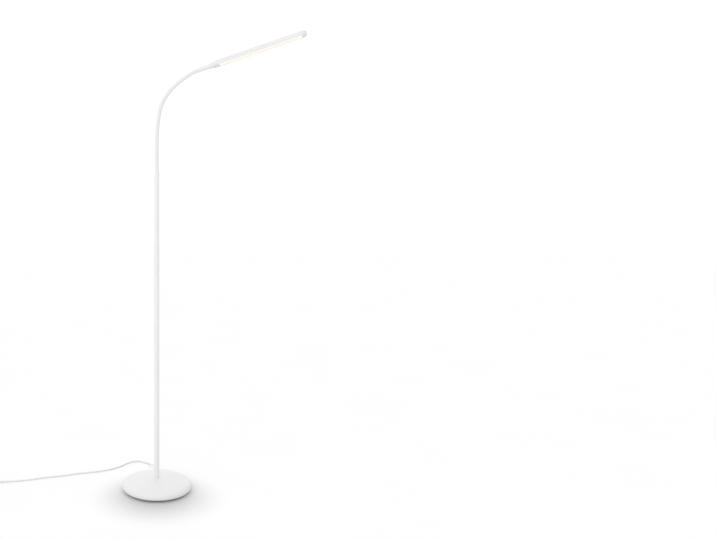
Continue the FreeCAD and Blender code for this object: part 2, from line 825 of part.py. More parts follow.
def underside_plate():
    """Plate that closes the head from below, with the window for the diffuser."""
    plate = plan(head_plate_start, head_plate_nose, head_plate_shoulder, plate_half, plate_bottom, plate_top)
    window = block(window_start, window_end, window_width, head_bottom - overcut, head_top)
    return to_head(plate.cut(window))


def diffuser():
    """Opal bar that fills the window, with a flange that rests on the plate."""
    gap = diffuser_clearance
    bar = block(window_start + gap, window_end - gap, window_width - 2 * gap, plate_bottom, plate_top)
    over = diffuser_flange_overlap
    flange = block(window_start - over, window_end + over, window_width + 2 * over,
                   plate_top, plate_top + diffuser_flange_thickness)
    return to_head(fused(bar, flange))


def screw_holes(radius):
    """Holes for the board's screws."""
    return [Part.makeCylinder(radius, 2 * head_thickness, V(x, 0, -head_thickness)) for x in board_screw_stations]


def heat_spreader():
    """Aluminium strip that carries the light board and takes its heat."""
    strip = block(spreader_start, spreader_end, spreader_width, board_top, spreader_top)
    return to_head(strip.cut(screw_holes(board_screw_radius + slip_clearance)))


def led_board():
    """Printed board on the underside of the heat spreader."""
    strip = block(board_start, board_end, board_width, led_top, board_top)
    return to_head(strip.cut(screw_holes(board_screw_radius + slip_clearance)))


def leds():
    """Two rows of light-emitting diodes on the board."""
    chips = []
    for column in range(led_columns):
        x = led_first + column * led_pitch
        for side in (-1, 1):
            y = side * led_row_offset - led_width / 2
            chips.append(Part.makeBox(led_length, led_width, led_height, V(x - led_length / 2, y, led_top - led_height)))
    return to_head(Part.makeCompound(chips))


def board_screws():
    """Screws that hold board and heat spreader to the housing's bosses."""
    reach = board_thickness + spreader_thickness + boss_height + board_screw_bite
    screws = [pan_screw(V(x, 0, led_top), UP, reach, board_screw_radius, board_screw_head_radius,
                        board_screw_head_height) for x in board_screw_stations]
    return to_head(Part.makeCompound(screws))


def control_board():
    """Small board under the roof that reads the touch pad and dims the light, with its chip."""
    board = block(control_start, control_start + control_length, control_width,
                  roof_height - control_thickness, roof_height)
    chip = block(control_start + chip_inset, control_start + chip_inset + chip_length, chip_width,
                 roof_height - control_thickness - chip_height, roof_height - control_thickness)
    return to_head(fused(board, chip))


def touch_pad():
    """Touch pad in the top of the head, with its contact pin."""
    top = head_top + touch_proud
    disc = Part.makeCylinder(touch_radius, touch_thickness, V(touch_distance, 0, top - touch_thickness))
    pin = Part.makeCylinder(touch_pin_radius, top - touch_thickness - roof_height, V(touch_distance, 0, roof_height))
    return to_head(fused(disc, pin))


def head_lead():
    """Lead through the neck's tip and the socket to the control board."""
    start = tip.start - tip.direction * lead_back
    curved = fused(tip.rod(lead_radius), Part.makeCylinder(lead_radius, lead_back, start, tip.direction))
    rise = roof_height - control_thickness - lead_radius - slip_clearance
    inside = smooth_tube([V(0, 0, 0), V(socket_depth + 22, 0, 0), V(cavity_start - 2, 0, rise / 3),
                          V(control_start + 1, 0, rise - 1.0)], 2 * lead_radius)[0]
    return fused(curved, to_head(inside))


def socket_screw():
    """Grub screw that holds the head on the neck."""
    start = V(socket_grub_distance, 0, -sleeve_radius - fit_clearance)
    return to_head(grub(start, -UP, socket_radius - sleeve_radius - 2 * fit_clearance))


# ------------------------------------------------------------------ cord
def smooth_tube(points, diameter):
    """Round cord along straight runs joined by tangent arcs, each as large as its two runs allow.

    Returns the solid, the arcs' radii and the length of the middle line.
    """
    edges = []
    radii = []
    length = 0.0
    here = points[0]
    for before, corner, after in zip(points, points[1:], points[2:]):
        into = corner - before
        out = after - corner
        turn = into.getAngle(out)
        cut = 0.45 * min(into.Length, out.Length)
        radius = cut / math.tan(turn / 2)
        into.normalize()
        out.normalize()
        first = corner - into * cut
        last = corner + out * cut
        inward = out - into
        inward.normalize()
        middle = corner + inward * (radius / math.cos(turn / 2) - radius)
        edges += [line(here, first), arc(first, middle, last)]
        length += (first - here).Length + radius * turn
        radii.append(radius)
        here = last
    edges.append(line(here, points[-1]))
    length += (points[-1] - here).Length
    start_direction = points[1] - points[0]
    section = Part.Wire(Part.makeCircle(diameter / 2, points[0], start_direction))
    return Part.Wire(edges).makePipeShell([section], True, False), radii, length


exit_turn = FreeCAD.Rotation(UP, exit_azimuth)
cord_exit = exit_turn.multVec(V(relief_end, 0, exit_height))
route = [cord_exit, exit_turn.multVec(V(relief_end + cord_first_run, 0, exit_height))]
route += [V(*point) for point in cord_route]
coil_start = route[-1]
coil_heading = route[-1] - route[-2]
coil_heading.normalize()
coil_left = UP.cross(coil_heading)
coil_centre = coil_start + coil_heading * cord_diameter + coil_left * coil_outer_radius
turn_pitch = cord_diameter + coil_gap
layer_pitch = cord_diameter + coil_layer_gap
lower_end = 2 * math.pi * coil_lower_turns
climb_end = lower_end + math.pi
coil_end = climb_end + 2 * math.pi * coil_upper_turns
drop_start = coil_end - math.pi / 2
spread = turn_pitch / (2 * math.pi)


def coil_point(turned_angle):
    """Middle of the wire after a turned angle: in on the floor, up a layer in half a turn, out again on top."""
    inner = coil_outer_radius - spread * lower_end
    height = coil_start.z
    if turned_angle <= lower_end:
        radius = coil_outer_radius - spread * turned_angle
    elif turned_angle <= climb_end:
        part = turned_angle - lower_end
        radius = inner - spread * part * (1 - part / math.pi)
        height += layer_pitch * (1 - math.cos(part)) / 2
    else:
        radius = inner + spread * (turned_angle - climb_end)
        height += layer_pitch
    if turned_angle > drop_start:
        part = (turned_angle - drop_start) / (coil_end - drop_start)
        height += (plug_thickness / 2 - height) * (1 - math.cos(math.pi * part)) / 2
    across = coil_heading * math.sin(turned_angle) - coil_left * math.cos(turned_angle)
    return V(coil_centre.x, coil_centre.y, height) + across * radius


def coil_direction(turned_angle):
    """Unit tangent of the wire; level and square at the two ends."""
    if turned_angle in (0, coil_end):
        return coil_heading * math.cos(turned_angle) + coil_left * math.sin(turned_angle)
    step = 0.001
    tangent = coil_point(turned_angle + step) - coil_point(turned_angle - step)
    tangent.normalize()
    return tangent


def biarc(start, start_direction, end, end_direction):
    """Two arcs that join two points with the given directions."""
    chord = end - start
    both = start_direction + end_direction
    a = 2 * (1 - start_direction.dot(end_direction))
    b = 2 * chord.dot(both)
    c = -chord.dot(chord)
    reach = (-b + math.sqrt(b * b - 4 * a * c)) / (2 * a)
    reach_start = start + start_direction * reach
    reach_end = end - end_direction * reach
    joint = (reach_start + reach_end) * 0.5
    arcs = []
    for p0, corner, p1 in ((start, reach_start, joint), (joint, reach_end, end)):
        mid_chord = (p0 + p1) * 0.5
        half_angle = (corner - p0).getAngle(p1 - p0)
        sagitta = (p1 - p0).Length / 2 * math.tan(half_angle / 2)
        outward = corner - mid_chord
        outward.normalize()
        arcs.append(arc(p0, mid_chord + outward * sagitta, p1))
    return arcs


def coil_path():
    """The coil's middle line: a short straight, biarcs of a quarter turn, a short straight."""
    steps = round(coil_end / (math.pi / 2))
    angles = [coil_end * i / steps for i in range(steps + 1)]
    edges = [line(coil_start, coil_start + coil_heading * cord_diameter)]
    for a0, a1 in zip(angles, angles[1:]):
        edges += biarc(coil_point(a0), coil_direction(a0), coil_point(a1), coil_direction(a1))
    last = coil_point(coil_end)
    edges.append(line(last, last + coil_direction(coil_end) * cord_diameter))
    return Part.Wire(edges)


def least_gap(path):
    """Least gap between the coil's wire and itself, measured on points along its middle line."""
    points = []
    for edge in path.Edges:
        count = max(2, int(edge.Length / 1.5))
        points += edge.discretize(Number=count)[:-1]
    near = 2.2 * cord_diameter
    travelled = [0.0]
    for a, b in zip(points, points[1:]):
        travelled.append(travelled[-1] + (b - a).Length)
    least = float("inf")
    for i, a in enumerate(points):
        for j in range(i + 1, len(points)):
            if travelled[j] - travelled[i] > near:
                least = min(least, (points[j] - a).Length)
    return least - cord_diameter


def wire_along(path):
    """Cord along a path, as one unbroken tube."""
    first = path.Edges[0]
    start = first.valueAt(first.FirstParameter)
    direction = first.tangentAt(first.FirstParameter)
    section = Part.Wire(Part.makeCircle(cord_radius, start, direction))
    return path.makePipeShell([section], True, False)


def cord_tie():
    """Soft band round all turns of the coil, on the side away from the climb."""
    innermost = coil_outer_radius - spread * lower_end - cord_radius
    outermost = coil_outer_radius - spread * lower_end + turn_pitch * (coil_upper_turns - 0.5) + cord_radius
    low = math.sqrt(innermost ** 2 - (tie_width / 2) ** 2) - tie_clearance
    high = outermost + tie_clearance
    bottom = coil_start.z - cord_radius
    top = bottom + cord_diameter + layer_pitch + tie_clearance
    wall = tie_thickness
    outer = Part.makeBox(high - low + 2 * wall, tie_width, top - bottom + 2 * wall,
                         V(low - wall, -tie_width / 2, bottom - wall))
    outer = outer.makeFillet(2 * wall, [e for e in outer.Edges if abs(e.tangentAt(0).y) > 0.9])
    inner = Part.makeBox(high - low, 2 * tie_width, top - bottom, V(low, -tie_width, bottom))
    inner = inner.makeFillet(wall, [e for e in inner.Edges if abs(e.tangentAt(0).y) > 0.9])
    band = outer.cut(inner)
    side = -coil_heading
    angle = math.degrees(math.atan2(side.y, side.x))
    return band.rotated(ORIGIN, UP, angle).translated(V(coil_centre.x, coil_centre.y, 0))


plug_direction = coil_direction(coil_end)
plug_start = coil_point(coil_end) + plug_direction * cord_diameter


def to_plug(shape):
    """Moves a shape drawn along +X to the plug's place at the end of the coil."""
    angle = math.degrees(math.atan2(plug_direction.y, plug_direction.x))
    return shape.rotated(ORIGIN, UP, angle).translated(plug_start)


def mains_plug():
    """Flat two-pin plug: a tapered boot and a grip that widens to the face."""
    boot = Part.makeCone(relief_tip_radius, plug_boot_radius, plug_boot_length, ORIGIN, ALONG)
    half = plug_thickness / 2
    sections = []
    for along, width, thickness, rounding in ((0, 0.38, 0.74, 0.36), (0.32, 0.5, 0.86, 0.42),
                                              (0.72, 0.88, 0.98, 0.48), (1, 1, 1, 0.49)):
        tall = thickness * half
        sections.append(rounded_section(plug_boot_length + along * plug_body_length, width * plug_width,
                                        -tall, tall, rounding * plug_thickness * thickness,
                                        rounding * plug_thickness * thickness))
    grip = Part.makeLoft(sections, True, True)
    return to_plug(fused(boot, grip))


def plug_pins():
    """The plug's two round pins."""
    pins = []
    face = plug_boot_length + plug_body_length
    for side in (-1, 1):
        spot = V(face, side * plug_pin_spacing / 2, 0)
        length = plug_pin_length - plug_pin_radius
        pin = Part.makeCylinder(plug_pin_radius, length, spot, ALONG)
        end = Part.makeSphere(plug_pin_radius, spot + ALONG * length, ALONG, 0, 90, 360)
        pins.append(fused(pin, end))
    return to_plug(Part.makeCompound(pins))


# ------------------------------------------------------------------ write every piece
os.makedirs("parts", exist_ok=True)

write("base_cover", base_cover())
write("base_weight", base_weight())
write("base_plate", base_plate())
write("base_screws", base_screws())
write("base_pad", base_pad())
write("base_nipple", base_nipple())
write("base_washer", base_washer())
write("base_nut", base_nut())
write("led_driver", led_driver())
write("cord_clamp", cord_clamp())
write("strain_relief", strain_relief())
write("inner_cord", inner_cord())

for number, place in enumerate(("lower", "middle", "upper")):
    write("pole_" + place, pole_section(number))
write("pole_couplers", pole_couplers())
write("pole_foot_bush", pole_foot_bush())
write("pole_lead", pole_lead())
write("neck_collar", neck_collar())
write("collar_screw", collar_screw())
write("neck_sleeve_foot", foot_sleeve())
write("neck_core_foot", core(foot_run, False, cup_depth))

for number, link in enumerate(links, 1):
    write("neck_sleeve_%d" % number, sleeve(link, True, True))
    write("neck_core_%d" % number, core(link, True, cup_depth))
    write("neck_lead_%d" % number, lead(link))

write("neck_sleeve_tip", tip_sleeve())
write("neck_core_tip", tip_core())
write("head_lead", head_lead())
write("head_housing", head_housing())
write("underside_plate", underside_plate())
write("diffuser", diffuser())
write("heat_spreader", heat_spreader())
write("led_board", led_board())
write("leds", leds())
write("board_screws", board_screws())
write("control_board", control_board())
write("touch_pad", touch_pad())
write("socket_screw", socket_screw())

free_cord, cord_radii, cord_length = smooth_tube(route, cord_diameter)
write("mains_cord", free_cord)
coil_line = coil_path()
coil_solid = wire_along(coil_line)
write("cord_coil", coil_solid)
write("cord_tie", cord_tie())
write("mains_plug", mains_plug())
write("plug_pins", plug_pins())

section_area = math.pi * cord_radius ** 2
print("cord arc radii", [round(r, 1) for r in cord_radii], "least allowed", 5 * cord_diameter)
print("free cord: length %.1f, volume %.1f, section x length %.1f"
      % (cord_length, free_cord.Volume, section_area * cord_length))
print("coil: length %.1f, volume %.1f, section x length %.1f, least gap to itself %.2f"
      % (coil_line.Length, coil_solid.Volume, section_area * coil_line.Length, least_gap(coil_line)))
print("whole cord %.1f mm; knuckles at" % (cord_length + coil_line.Length),
      [tuple(round(c, 3) for c in run.end) + (round(run.end_lean, 2),) for run in runs])
print("head starts", tuple(round(c, 3) for c in tip.end), "leans", tip.end_lean, "cord exit",
      tuple(round(c, 3) for c in cord_exit))
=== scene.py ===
"""Looks of a gooseneck reading floor lamp, put together from the floor up. Metres, in the model's own frame."""

import math

import bmesh
import bpy
import numpy as np
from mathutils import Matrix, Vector


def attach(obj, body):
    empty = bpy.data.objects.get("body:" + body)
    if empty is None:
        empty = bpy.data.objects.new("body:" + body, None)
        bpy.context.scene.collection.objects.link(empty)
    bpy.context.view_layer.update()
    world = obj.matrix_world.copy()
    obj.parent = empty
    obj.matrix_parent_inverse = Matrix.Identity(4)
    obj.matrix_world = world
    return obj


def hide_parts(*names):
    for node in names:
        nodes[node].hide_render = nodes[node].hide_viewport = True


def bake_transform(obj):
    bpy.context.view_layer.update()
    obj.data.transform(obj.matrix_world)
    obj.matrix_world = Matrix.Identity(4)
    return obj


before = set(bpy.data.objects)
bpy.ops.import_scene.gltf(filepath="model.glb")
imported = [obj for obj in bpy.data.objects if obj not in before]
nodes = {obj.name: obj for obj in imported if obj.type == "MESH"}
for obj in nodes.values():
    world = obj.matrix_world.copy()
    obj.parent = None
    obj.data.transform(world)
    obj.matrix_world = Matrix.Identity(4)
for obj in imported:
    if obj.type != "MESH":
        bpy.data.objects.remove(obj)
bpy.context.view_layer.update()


# ------------------------ studio
# A pale floor with a painted shade round the stand, under a white dome that dims a little to one side. Two broad soft
# lights stand low, one left of the camera and one behind the lamp. The camera stands two metres off with its axis
# level, as in the photograph.
camera_place = (0.4437, -2.0014, 0.8239)
camera_turn = math.radians(12.5)
focal_pixels = 642.9
frame_width, frame_height = 716, 540
axis_column, axis_row = 156.8, 230.6     # where the camera's axis meets the picture

scene = bpy.context.scene
scene.view_settings.view_transform = "Standard"
scene.view_settings.look = "None"


def put_in(name, data):
    """New object in the scene."""
    thing = bpy.data.objects.new(name, data)
    scene.collection.objects.link(thing)
    return thing


camera = put_in("camera", bpy.data.cameras.new("camera"))
camera.location = camera_place
camera.rotation_euler = (math.radians(90), 0, camera_turn)
camera.data.lens = camera.data.sensor_width * focal_pixels / frame_width
camera.data.shift_x = (frame_width / 2 - axis_column) / frame_width
camera.data.shift_y = (axis_row - frame_height / 2) / frame_width
camera.data.clip_start = 0.05
camera.data.clip_end = 100.0
scene.camera = camera

dome_light, dome_seen = 0.93, 1.05     # how bright the dome lights the lamp, and what the camera sees of it
dome_tones = (("Z", 0.0, 0.9, 0.97, 1.03), ("X", -0.6, 1.0, 1.04, 0.90), ("Y", -1.0, 1.0, 0.92, 1.08))
colour_a, colour_b, colour_out = 6, 7, 2     # the colour sockets of a Mix node


def set_up(node, settings):
    """Sets a node's properties by attribute and its sockets by name, or by number as in_1."""
    for key, value in settings.items():
        if hasattr(node, key):
            setattr(node, key, value)
        else:
            socket = int(key[3:]) if key.startswith("in_") else key.replace("_", " ")
            node.inputs[socket].default_value = value


def node_of(tree, kind, **settings):
    """New shader node of a kind."""
    node = tree.nodes.new("ShaderNode" + kind)
    set_up(node, settings)
    return node


def in_line(tree, *run):
    """Links each node's first output to the next one's first input."""
    for before, after in zip(run, run[1:]):
        tree.links.new(before.outputs[0], after.inputs[0])


def new_material(name, **settings):
    """New material with its node tree and its shader."""
    material = bpy.data.materials.new(name)
    material.use_nodes = True
    skin = material.node_tree.nodes["Principled BSDF"]
    set_up(skin, settings)
    return material, material.node_tree, skin


def dome():
    """World: white, brighter overhead and behind the lamp, a little darker towards the right.

    Its strength is dome_light times an even slope for each axis, which dome_tones gives as the axis, two places
    along it and their tones. The camera sees pure white instead."""
    world = bpy.data.worlds.new("studio_dome")
    world.use_nodes = True
    tree = world.node_tree
    tree.nodes.clear()
    place = node_of(tree, "TexCoord")
    parts = node_of(tree, "SeparateXYZ")
    lit = node_of(tree, "Background", Color=(1.0, 1.0, 1.0, 1.0))
    seen = node_of(tree, "Background", Color=(1.0, 1.0, 1.0, 1.0), Strength=dome_seen)
    rays = node_of(tree, "LightPath")
    pick = node_of(tree, "MixShader")
    out = node_of(tree, "OutputWorld")
    link = tree.links.new
    link(place.outputs["Generated"], parts.inputs[0])
    strength = None
    for axis, low, high, tone_low, tone_high in dome_tones:
        tone = node_of(tree, "MapRange", From_Min=low, From_Max=high, To_Min=tone_low, To_Max=tone_high)
        product = node_of(tree, "Math", operation="MULTIPLY")
        link(parts.outputs[axis], tone.inputs["Value"])
        link(tone.outputs[0], product.inputs[0])
        if strength:
            link(strength, product.inputs[1])
        else:
            product.inputs[1].default_value = dome_light
        strength = product.outputs[0]
    link(strength, lit.inputs["Strength"])
    link(rays.outputs["Is Camera Ray"], pick.inputs[0])
    link(lit.outputs[0], pick.inputs[1])
    link(seen.outputs[0], pick.inputs[2])
    link(pick.outputs[0], out.inputs[0])
    return world


scene.world = dome()


def broad_light(name, azimuth, elevation, spread, strength, mirrored=True):
    """Light from all over a round patch of sky, spread degrees wide, the same everywhere on the floor.

    Its middle stands at an azimuth, counted from +X towards +Y, and an elevation. Gloss shows it if mirrored."""
    light = put_in(name, bpy.data.lights.new(name, "SUN"))
    light.data.energy = strength
    light.data.angle = math.radians(spread)
    across, up = math.radians(azimuth), math.radians(elevation)
    towards = Vector((math.cos(across) * math.cos(up), math.sin(across) * math.cos(up), math.sin(up)))
    light.rotation_euler = towards.to_track_quat("Z", "Y").to_euler()
    light.visible_glossy = mirrored


broad_light("front_light", azimuth=255, elevation=14, spread=50, strength=0.62)
broad_light("back_light", azimuth=100, elevation=18, spread=40, strength=0.6, mirrored=False)

floor_size = 60.0
floor_dark, floor_light = 0.955, 0.965
shade_centre = (0.012, -0.055, 0.0)
shade_reach, shade_tone = 0.23, 0.61     # how far the painted shade goes, and its tone at the centre
bounce_reach, bounce_near, bounce_far = 0.8, 0.70, 0.90     # the same for the light that the floor throws back


def floor_material():
    """Pale floor with a barely visible unevenness in its tone, and a painted shade round the stand.

    For the camera its tone is multiplied by a painted shade that rises smoothly with the distance from shade_centre,
    as in the retouched photograph. The light it throws back is painted darker near the stand too, rising evenly with
    that distance from farther out, so the pole darkens a little on its way down."""
    material, tree, skin = new_material("pale_floor", Roughness=0.9, Specular_IOR_Level=0.0)
    place = node_of(tree, "TexCoord")
    cloud = node_of(tree, "TexNoise", Scale=3.0, Detail=2.0)
    tone = node_of(tree, "MapRange", From_Min=0.3, From_Max=0.7, To_Min=floor_dark, To_Max=floor_light)
    away = node_of(tree, "VectorMath", operation="DISTANCE", in_1=shade_centre)
    # painted shade round the stand for the camera, and a painted dimming of the light the floor throws back
    shade = node_of(tree, "MapRange", interpolation_type="SMOOTHSTEP", From_Max=shade_reach, To_Min=shade_tone)
    seen = node_of(tree, "Math", operation="MULTIPLY")
    thrown_back = node_of(tree, "MapRange", From_Max=bounce_reach, To_Min=bounce_near, To_Max=bounce_far)
    rays = node_of(tree, "LightPath")
    pick = node_of(tree, "Mix", data_type="RGBA")
    link = tree.links.new
    link(place.outputs["Object"], cloud.inputs["Vector"])
    link(place.outputs["Object"], away.inputs[0])
    link(away.outputs["Value"], shade.inputs["Value"])
    link(away.outputs["Value"], thrown_back.inputs["Value"])
    in_line(tree, cloud, tone, seen)
    link(shade.outputs[0], seen.inputs[1])
    link(rays.outputs["Is Camera Ray"], pick.inputs[0])
    link(thrown_back.outputs[0], pick.inputs[colour_a])
    link(seen.outputs[0], pick.inputs[colour_b])
    link(pick.outputs[colour_out], skin.inputs["Base Color"])
    return material


floor_mesh = bpy.data.meshes.new("floor")
floor_mesh.from_pydata([(x * floor_size / 2, y * floor_size / 2, 0) for x, y in ((-1, -1), (1, -1), (1, 1), (-1, 1))],
                       [], [(0, 1, 2, 3)])
floor_mesh.materials.append(floor_material())
put_in("floor", floor_mesh)


# ------------------------ pad, plate and weight
# Under the base: a dark foam pad glued to a painted steel plate, four screws into the cast weight above it, and the
# threaded tube with its washer and nut that ties weight, cover and pole together.
same_point, no_length = 2e-6, 1e-6     # points this near are one, and edges this short are none
roughness_swing, grain_strength = 0.04, 0.6


def surface(name, *grids, crease=35.0):
    """Object made of grids of points, each rows x columns x 3: one quad between each four neighbours.

    A grid that closes on itself repeats its first row or column. Points that coincide become one, faces are
    turned outwards, and edges where the surface turns by more than crease degrees stay sharp."""
    points = np.concatenate([grid.reshape(-1, 3) for grid in grids])
    quads = []
    first = 0
    for grid in grids:
        rows, columns = grid.shape[:2]
        index = first + np.arange(rows * columns).reshape(rows, columns)
        quads.append(np.stack((index[:-1, :-1], index[:-1, 1:], index[1:, 1:], index[1:, :-1]), -1).reshape(-1, 4))
        first += rows * columns
    mesh = bpy.data.meshes.new(name)
    mesh.from_pydata(points, [], np.concatenate(quads))
    work = bmesh.new()
    work.from_mesh(mesh)
    bmesh.ops.remove_doubles(work, verts=work.verts, dist=same_point)
    bmesh.ops.dissolve_degenerate(work, edges=work.edges, dist=no_length)
    bmesh.ops.recalc_face_normals(work, faces=work.faces)
    work.to_mesh(mesh)
    work.free()
    mesh.shade_smooth()
    mesh.set_sharp_from_angle(angle=math.radians(crease))
    return put_in(name, mesh)


def bow(centre, radius, start, end, count):
    """Points of an arc in a profile's plane: centre + radius (cos a, sin a), a from start to end in degrees."""
    angle = np.radians(np.linspace(start, end, count))
    return np.stack((centre[0] + radius * np.cos(angle), centre[1] + radius * np.sin(angle)), -1)


def turned_grid(profile, steps):
    """Grid of a surface of revolution about Z: profile point (r, z) at angle a gives (r cos a, r sin a, z)."""
    profile = np.asarray(profile, float)
    angle = np.linspace(0, 2 * math.pi, steps + 1)
    radius = profile[:, :1]
    return np.stack((radius * np.cos(angle), radius * np.sin(angle), profile[:, 1:] + 0 * angle), -1)


def grain_effect():
    """Shader group for plastic, paint, rubber and metal: a slow cloud in tone and a fine grain for the bump.

    Tone is noise of about Patch size mapped to 0..1; Grain is noise of about Grain size. Both sizes in metres."""
    group = bpy.data.node_groups.new("grain", "ShaderNodeTree")
    for name, way in (("Patch size", "INPUT"), ("Grain size", "INPUT"), ("Tone", "OUTPUT"), ("Grain", "OUTPUT")):
        group.interface.new_socket(name=name, in_out=way, socket_type="NodeSocketFloat")
    given = group.nodes.new("NodeGroupInput")
    result = group.nodes.new("NodeGroupOutput")
    place = node_of(group, "TexCoord")
    link = group.links.new
    for size, detail, output in (("Patch size", 3.0, "Tone"), ("Grain size", 2.0, "Grain")):
        per_metre = node_of(group, "Math", operation="DIVIDE", in_0=1.0)
        noise = node_of(group, "TexNoise", Detail=detail, Roughness=0.55)
        link(given.outputs[size], per_metre.inputs[1])
        link(per_metre.outputs[0], noise.inputs["Scale"])
        link(place.outputs["Object"], noise.inputs["Vector"])
        if output == "Tone":
            spread = node_of(group, "MapRange", From_Min=0.35, From_Max=0.65)
            link(noise.outputs["Fac"], spread.inputs["Value"])
            link(spread.outputs[0], result.inputs[output])
        else:
            link(noise.outputs["Fac"], result.inputs[output])
    return group


grain_group = grain_effect()


def finish(name, light, dark, roughness, grain, patch_size=0.05, metallic=0.0):
    """Material: two close tones in slow patches, a roughness that follows them, and a fine grain in the bump.

    The roughness is mixed evenly from roughness + swing in the dark patches to roughness - swing in the light ones.
    grain gives the grain's size and its height."""
    material, tree, skin = new_material(name, Metallic=metallic)
    grain_size, grain_height = grain
    pattern = tree.nodes.new("ShaderNodeGroup")
    pattern.node_tree = grain_group
    set_up(pattern, {"Grain size": grain_size, "Patch size": patch_size})
    tones = node_of(tree, "Mix", data_type="RGBA")
    tones.inputs[colour_a].default_value = (*dark, 1.0)
    tones.inputs[colour_b].default_value = (*light, 1.0)
    rough = node_of(tree, "MapRange", To_Min=roughness + roughness_swing, To_Max=roughness - roughness_swing)
    bump = node_of(tree, "Bump", Strength=grain_strength, Distance=grain_height)
    link = tree.links.new
    link(pattern.outputs["Tone"], tones.inputs[0])
    link(tones.outputs[colour_out], skin.inputs["Base Color"])
    link(pattern.outputs["Tone"], rough.inputs["Value"])
    link(rough.outputs[0], skin.inputs["Roughness"])
    link(pattern.outputs["Grain"], bump.inputs["Height"])
    link(bump.outputs[0], skin.inputs["Normal"])
    return material


def dress(material, *names):
    """Gives CAD nodes, which keep their own shape, a material."""
    for name in names:
        nodes[name].data.materials.clear()
        nodes[name].data.materials.append(material)


def stand_for(piece, material, body, slot, *names):
    """Finishes a new piece: its material, the body it rides on, and the CAD nodes it stands for."""
    piece.data.materials.append(material)
    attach(piece, body)
    if names:
        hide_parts(*names)
    return piece


steel = finish("zinc_plated_steel", (0.60, 0.60, 0.62), (0.50, 0.50, 0.52), roughness=0.35, grain=(0.0008, 0.00001),
               patch_size=0.01, metallic=1.0)
dress(finish("cast_iron", (0.16, 0.16, 0.17), (0.10, 0.10, 0.11), roughness=0.75, grain=(0.0012, 0.00015)),
      "base_weight")
dress(finish("painted_plate", (0.78, 0.78, 0.78), (0.73, 0.73, 0.73), roughness=0.5, grain=(0.0012, 0.00003)),
      "base_plate")
dress(finish("foam", (0.055, 0.055, 0.058), (0.035, 0.035, 0.037), roughness=0.95, grain=(0.0006, 0.00012),
             patch_size=0.004), "base_pad")
dress(steel, "base_screws", "base_nipple", "base_washer", "base_nut")


# ------------------------ base cover
# White moulded cover over the weight: a low dome with a full round side and a rim turned in underneath. It is
# satin, with the fine grain of a spark-eroded mould, and the pole clamps it at the flat in its middle.
cover_radius = 0.110
widest_height = 0.0137
upper_nose, lower_nose = 0.012, 0.0085
shoulder = 15.0
cover_wall = 0.0022
rim_width = 0.0044
seat_radius = 0.009
tube_hole = 0.0051
upper_centre = (cover_radius - upper_nose, widest_height)
lower_centre = (cover_radius - lower_nose, widest_height)
rim_inner = cover_radius - lower_nose - rim_width
shoulder_radius = upper_centre[0] + upper_nose * math.sin(math.radians(shoulder))
dome_radius = shoulder_radius / math.sin(math.radians(shoulder))
dome_centre = (0.0, widest_height + (upper_nose - dome_radius) * math.cos(math.radians(shoulder)))


def cover_skin(depth):
    """Profile from the seat over the dome and the two noses to the rim, depth under the outside."""
    seat_end = 90 - math.degrees(math.asin(seat_radius / (dome_radius - depth)))
    return np.vstack((
        bow(dome_centre, dome_radius - depth, seat_end, 90 - shoulder, 25),
        bow(upper_centre, upper_nose - depth, 90 - shoulder, 0, 17)[1:],
        bow(lower_centre, lower_nose - depth, 0, -90, 15)[1:],
    ))


outside = cover_skin(0.0)
inside = cover_skin(cover_wall)[::-1]
rim_edge = 0.0004
cover_profile = np.vstack((
    (tube_hole, outside[0, 1]), outside,
    bow((rim_inner + rim_edge, outside[-1, 1] + rim_edge), rim_edge, -90, -180, 4),
    (rim_inner, inside[0, 1]), inside, (tube_hole, inside[-1, 1]), (tube_hole, outside[0, 1]),
))
cover_white = finish("cover_white", (0.825, 0.825, 0.828), (0.811, 0.811, 0.814), roughness=0.48,
                     grain=(0.0009, 0.00002))
stand_for(surface("cover", turned_grid(cover_profile, 192)), cover_white, "stand", "cover_white", "base_cover")


# ------------------------ power supply and cord clamp
# A flat sealed power supply lies in the weight's bay. The cord is held down in front of it by a plastic bar and two
# screws, and a thin lead goes from it through the threaded tube and the pole up to the neck.
dress(finish("driver_plastic", (0.72, 0.72, 0.70), (0.68, 0.68, 0.66), roughness=0.55, grain=(0.0007, 0.00003)),
      "led_driver", "cord_clamp")
lead_black = finish("lead_black", (0.035, 0.035, 0.037), (0.025, 0.025, 0.027), roughness=0.4, grain=(0.001, 0.00001))
dress(lead_black, "pole_lead")


# ------------------------ mains cord
# White round PVC cord, 4.8 mm thick and 1.8 m long. It leaves the base at the back, lies loosely on the floor, and
# the length past the picture is wound up in two layers: in on the floor, up, and out again on top.
cord_thickness = 0.0048
exit_angle = math.radians(104)
exit_height = 0.014
relief_end = 0.1391
exit_direction = np.array((math.cos(exit_angle), math.sin(exit_angle), 0.0))
relief_mouth = relief_end * exit_direction + (0, 0, exit_height)
first_run = 0.026
cord_points = np.array((
    (-0.056, 0.188, 0.006), (-0.082, 0.213, 0.0024), (-0.121, 0.228, 0.0024), (-0.149, 0.199, 0.0024),
    (-0.165, 0.157, 0.0024), (-0.194, 0.122, 0.0024), (-0.235, 0.092, 0.0024), (-0.284, 0.069, 0.0024),
    (-0.332, 0.034, 0.0024), (-0.382, 0.010, 0.0024), (-0.429, -0.023, 0.0024), (-0.477, -0.046, 0.0024),
    (-0.520, -0.061, 0.0032), (-0.558, -0.078, 0.0032),
))
coil_radius = 0.0315
turn_pitch = 0.0054
layer_pitch = 0.0053
lower_turns, upper_turns = 2.0, 3.75
points_per_turn = 16
plug_height = 0.007
coil_heading = cord_points[-1] - cord_points[-2]
coil_heading /= np.linalg.norm(coil_heading)
upright = np.array((0.0, 0.0, 1.0))
coil_left = np.cross(upright, coil_heading)
coil_centre = cord_points[-1] + coil_heading * cord_thickness + coil_left * coil_radius
lower_end = 2 * math.pi * lower_turns
climb_end = lower_end + math.pi
coil_end = climb_end + 2 * math.pi * upper_turns


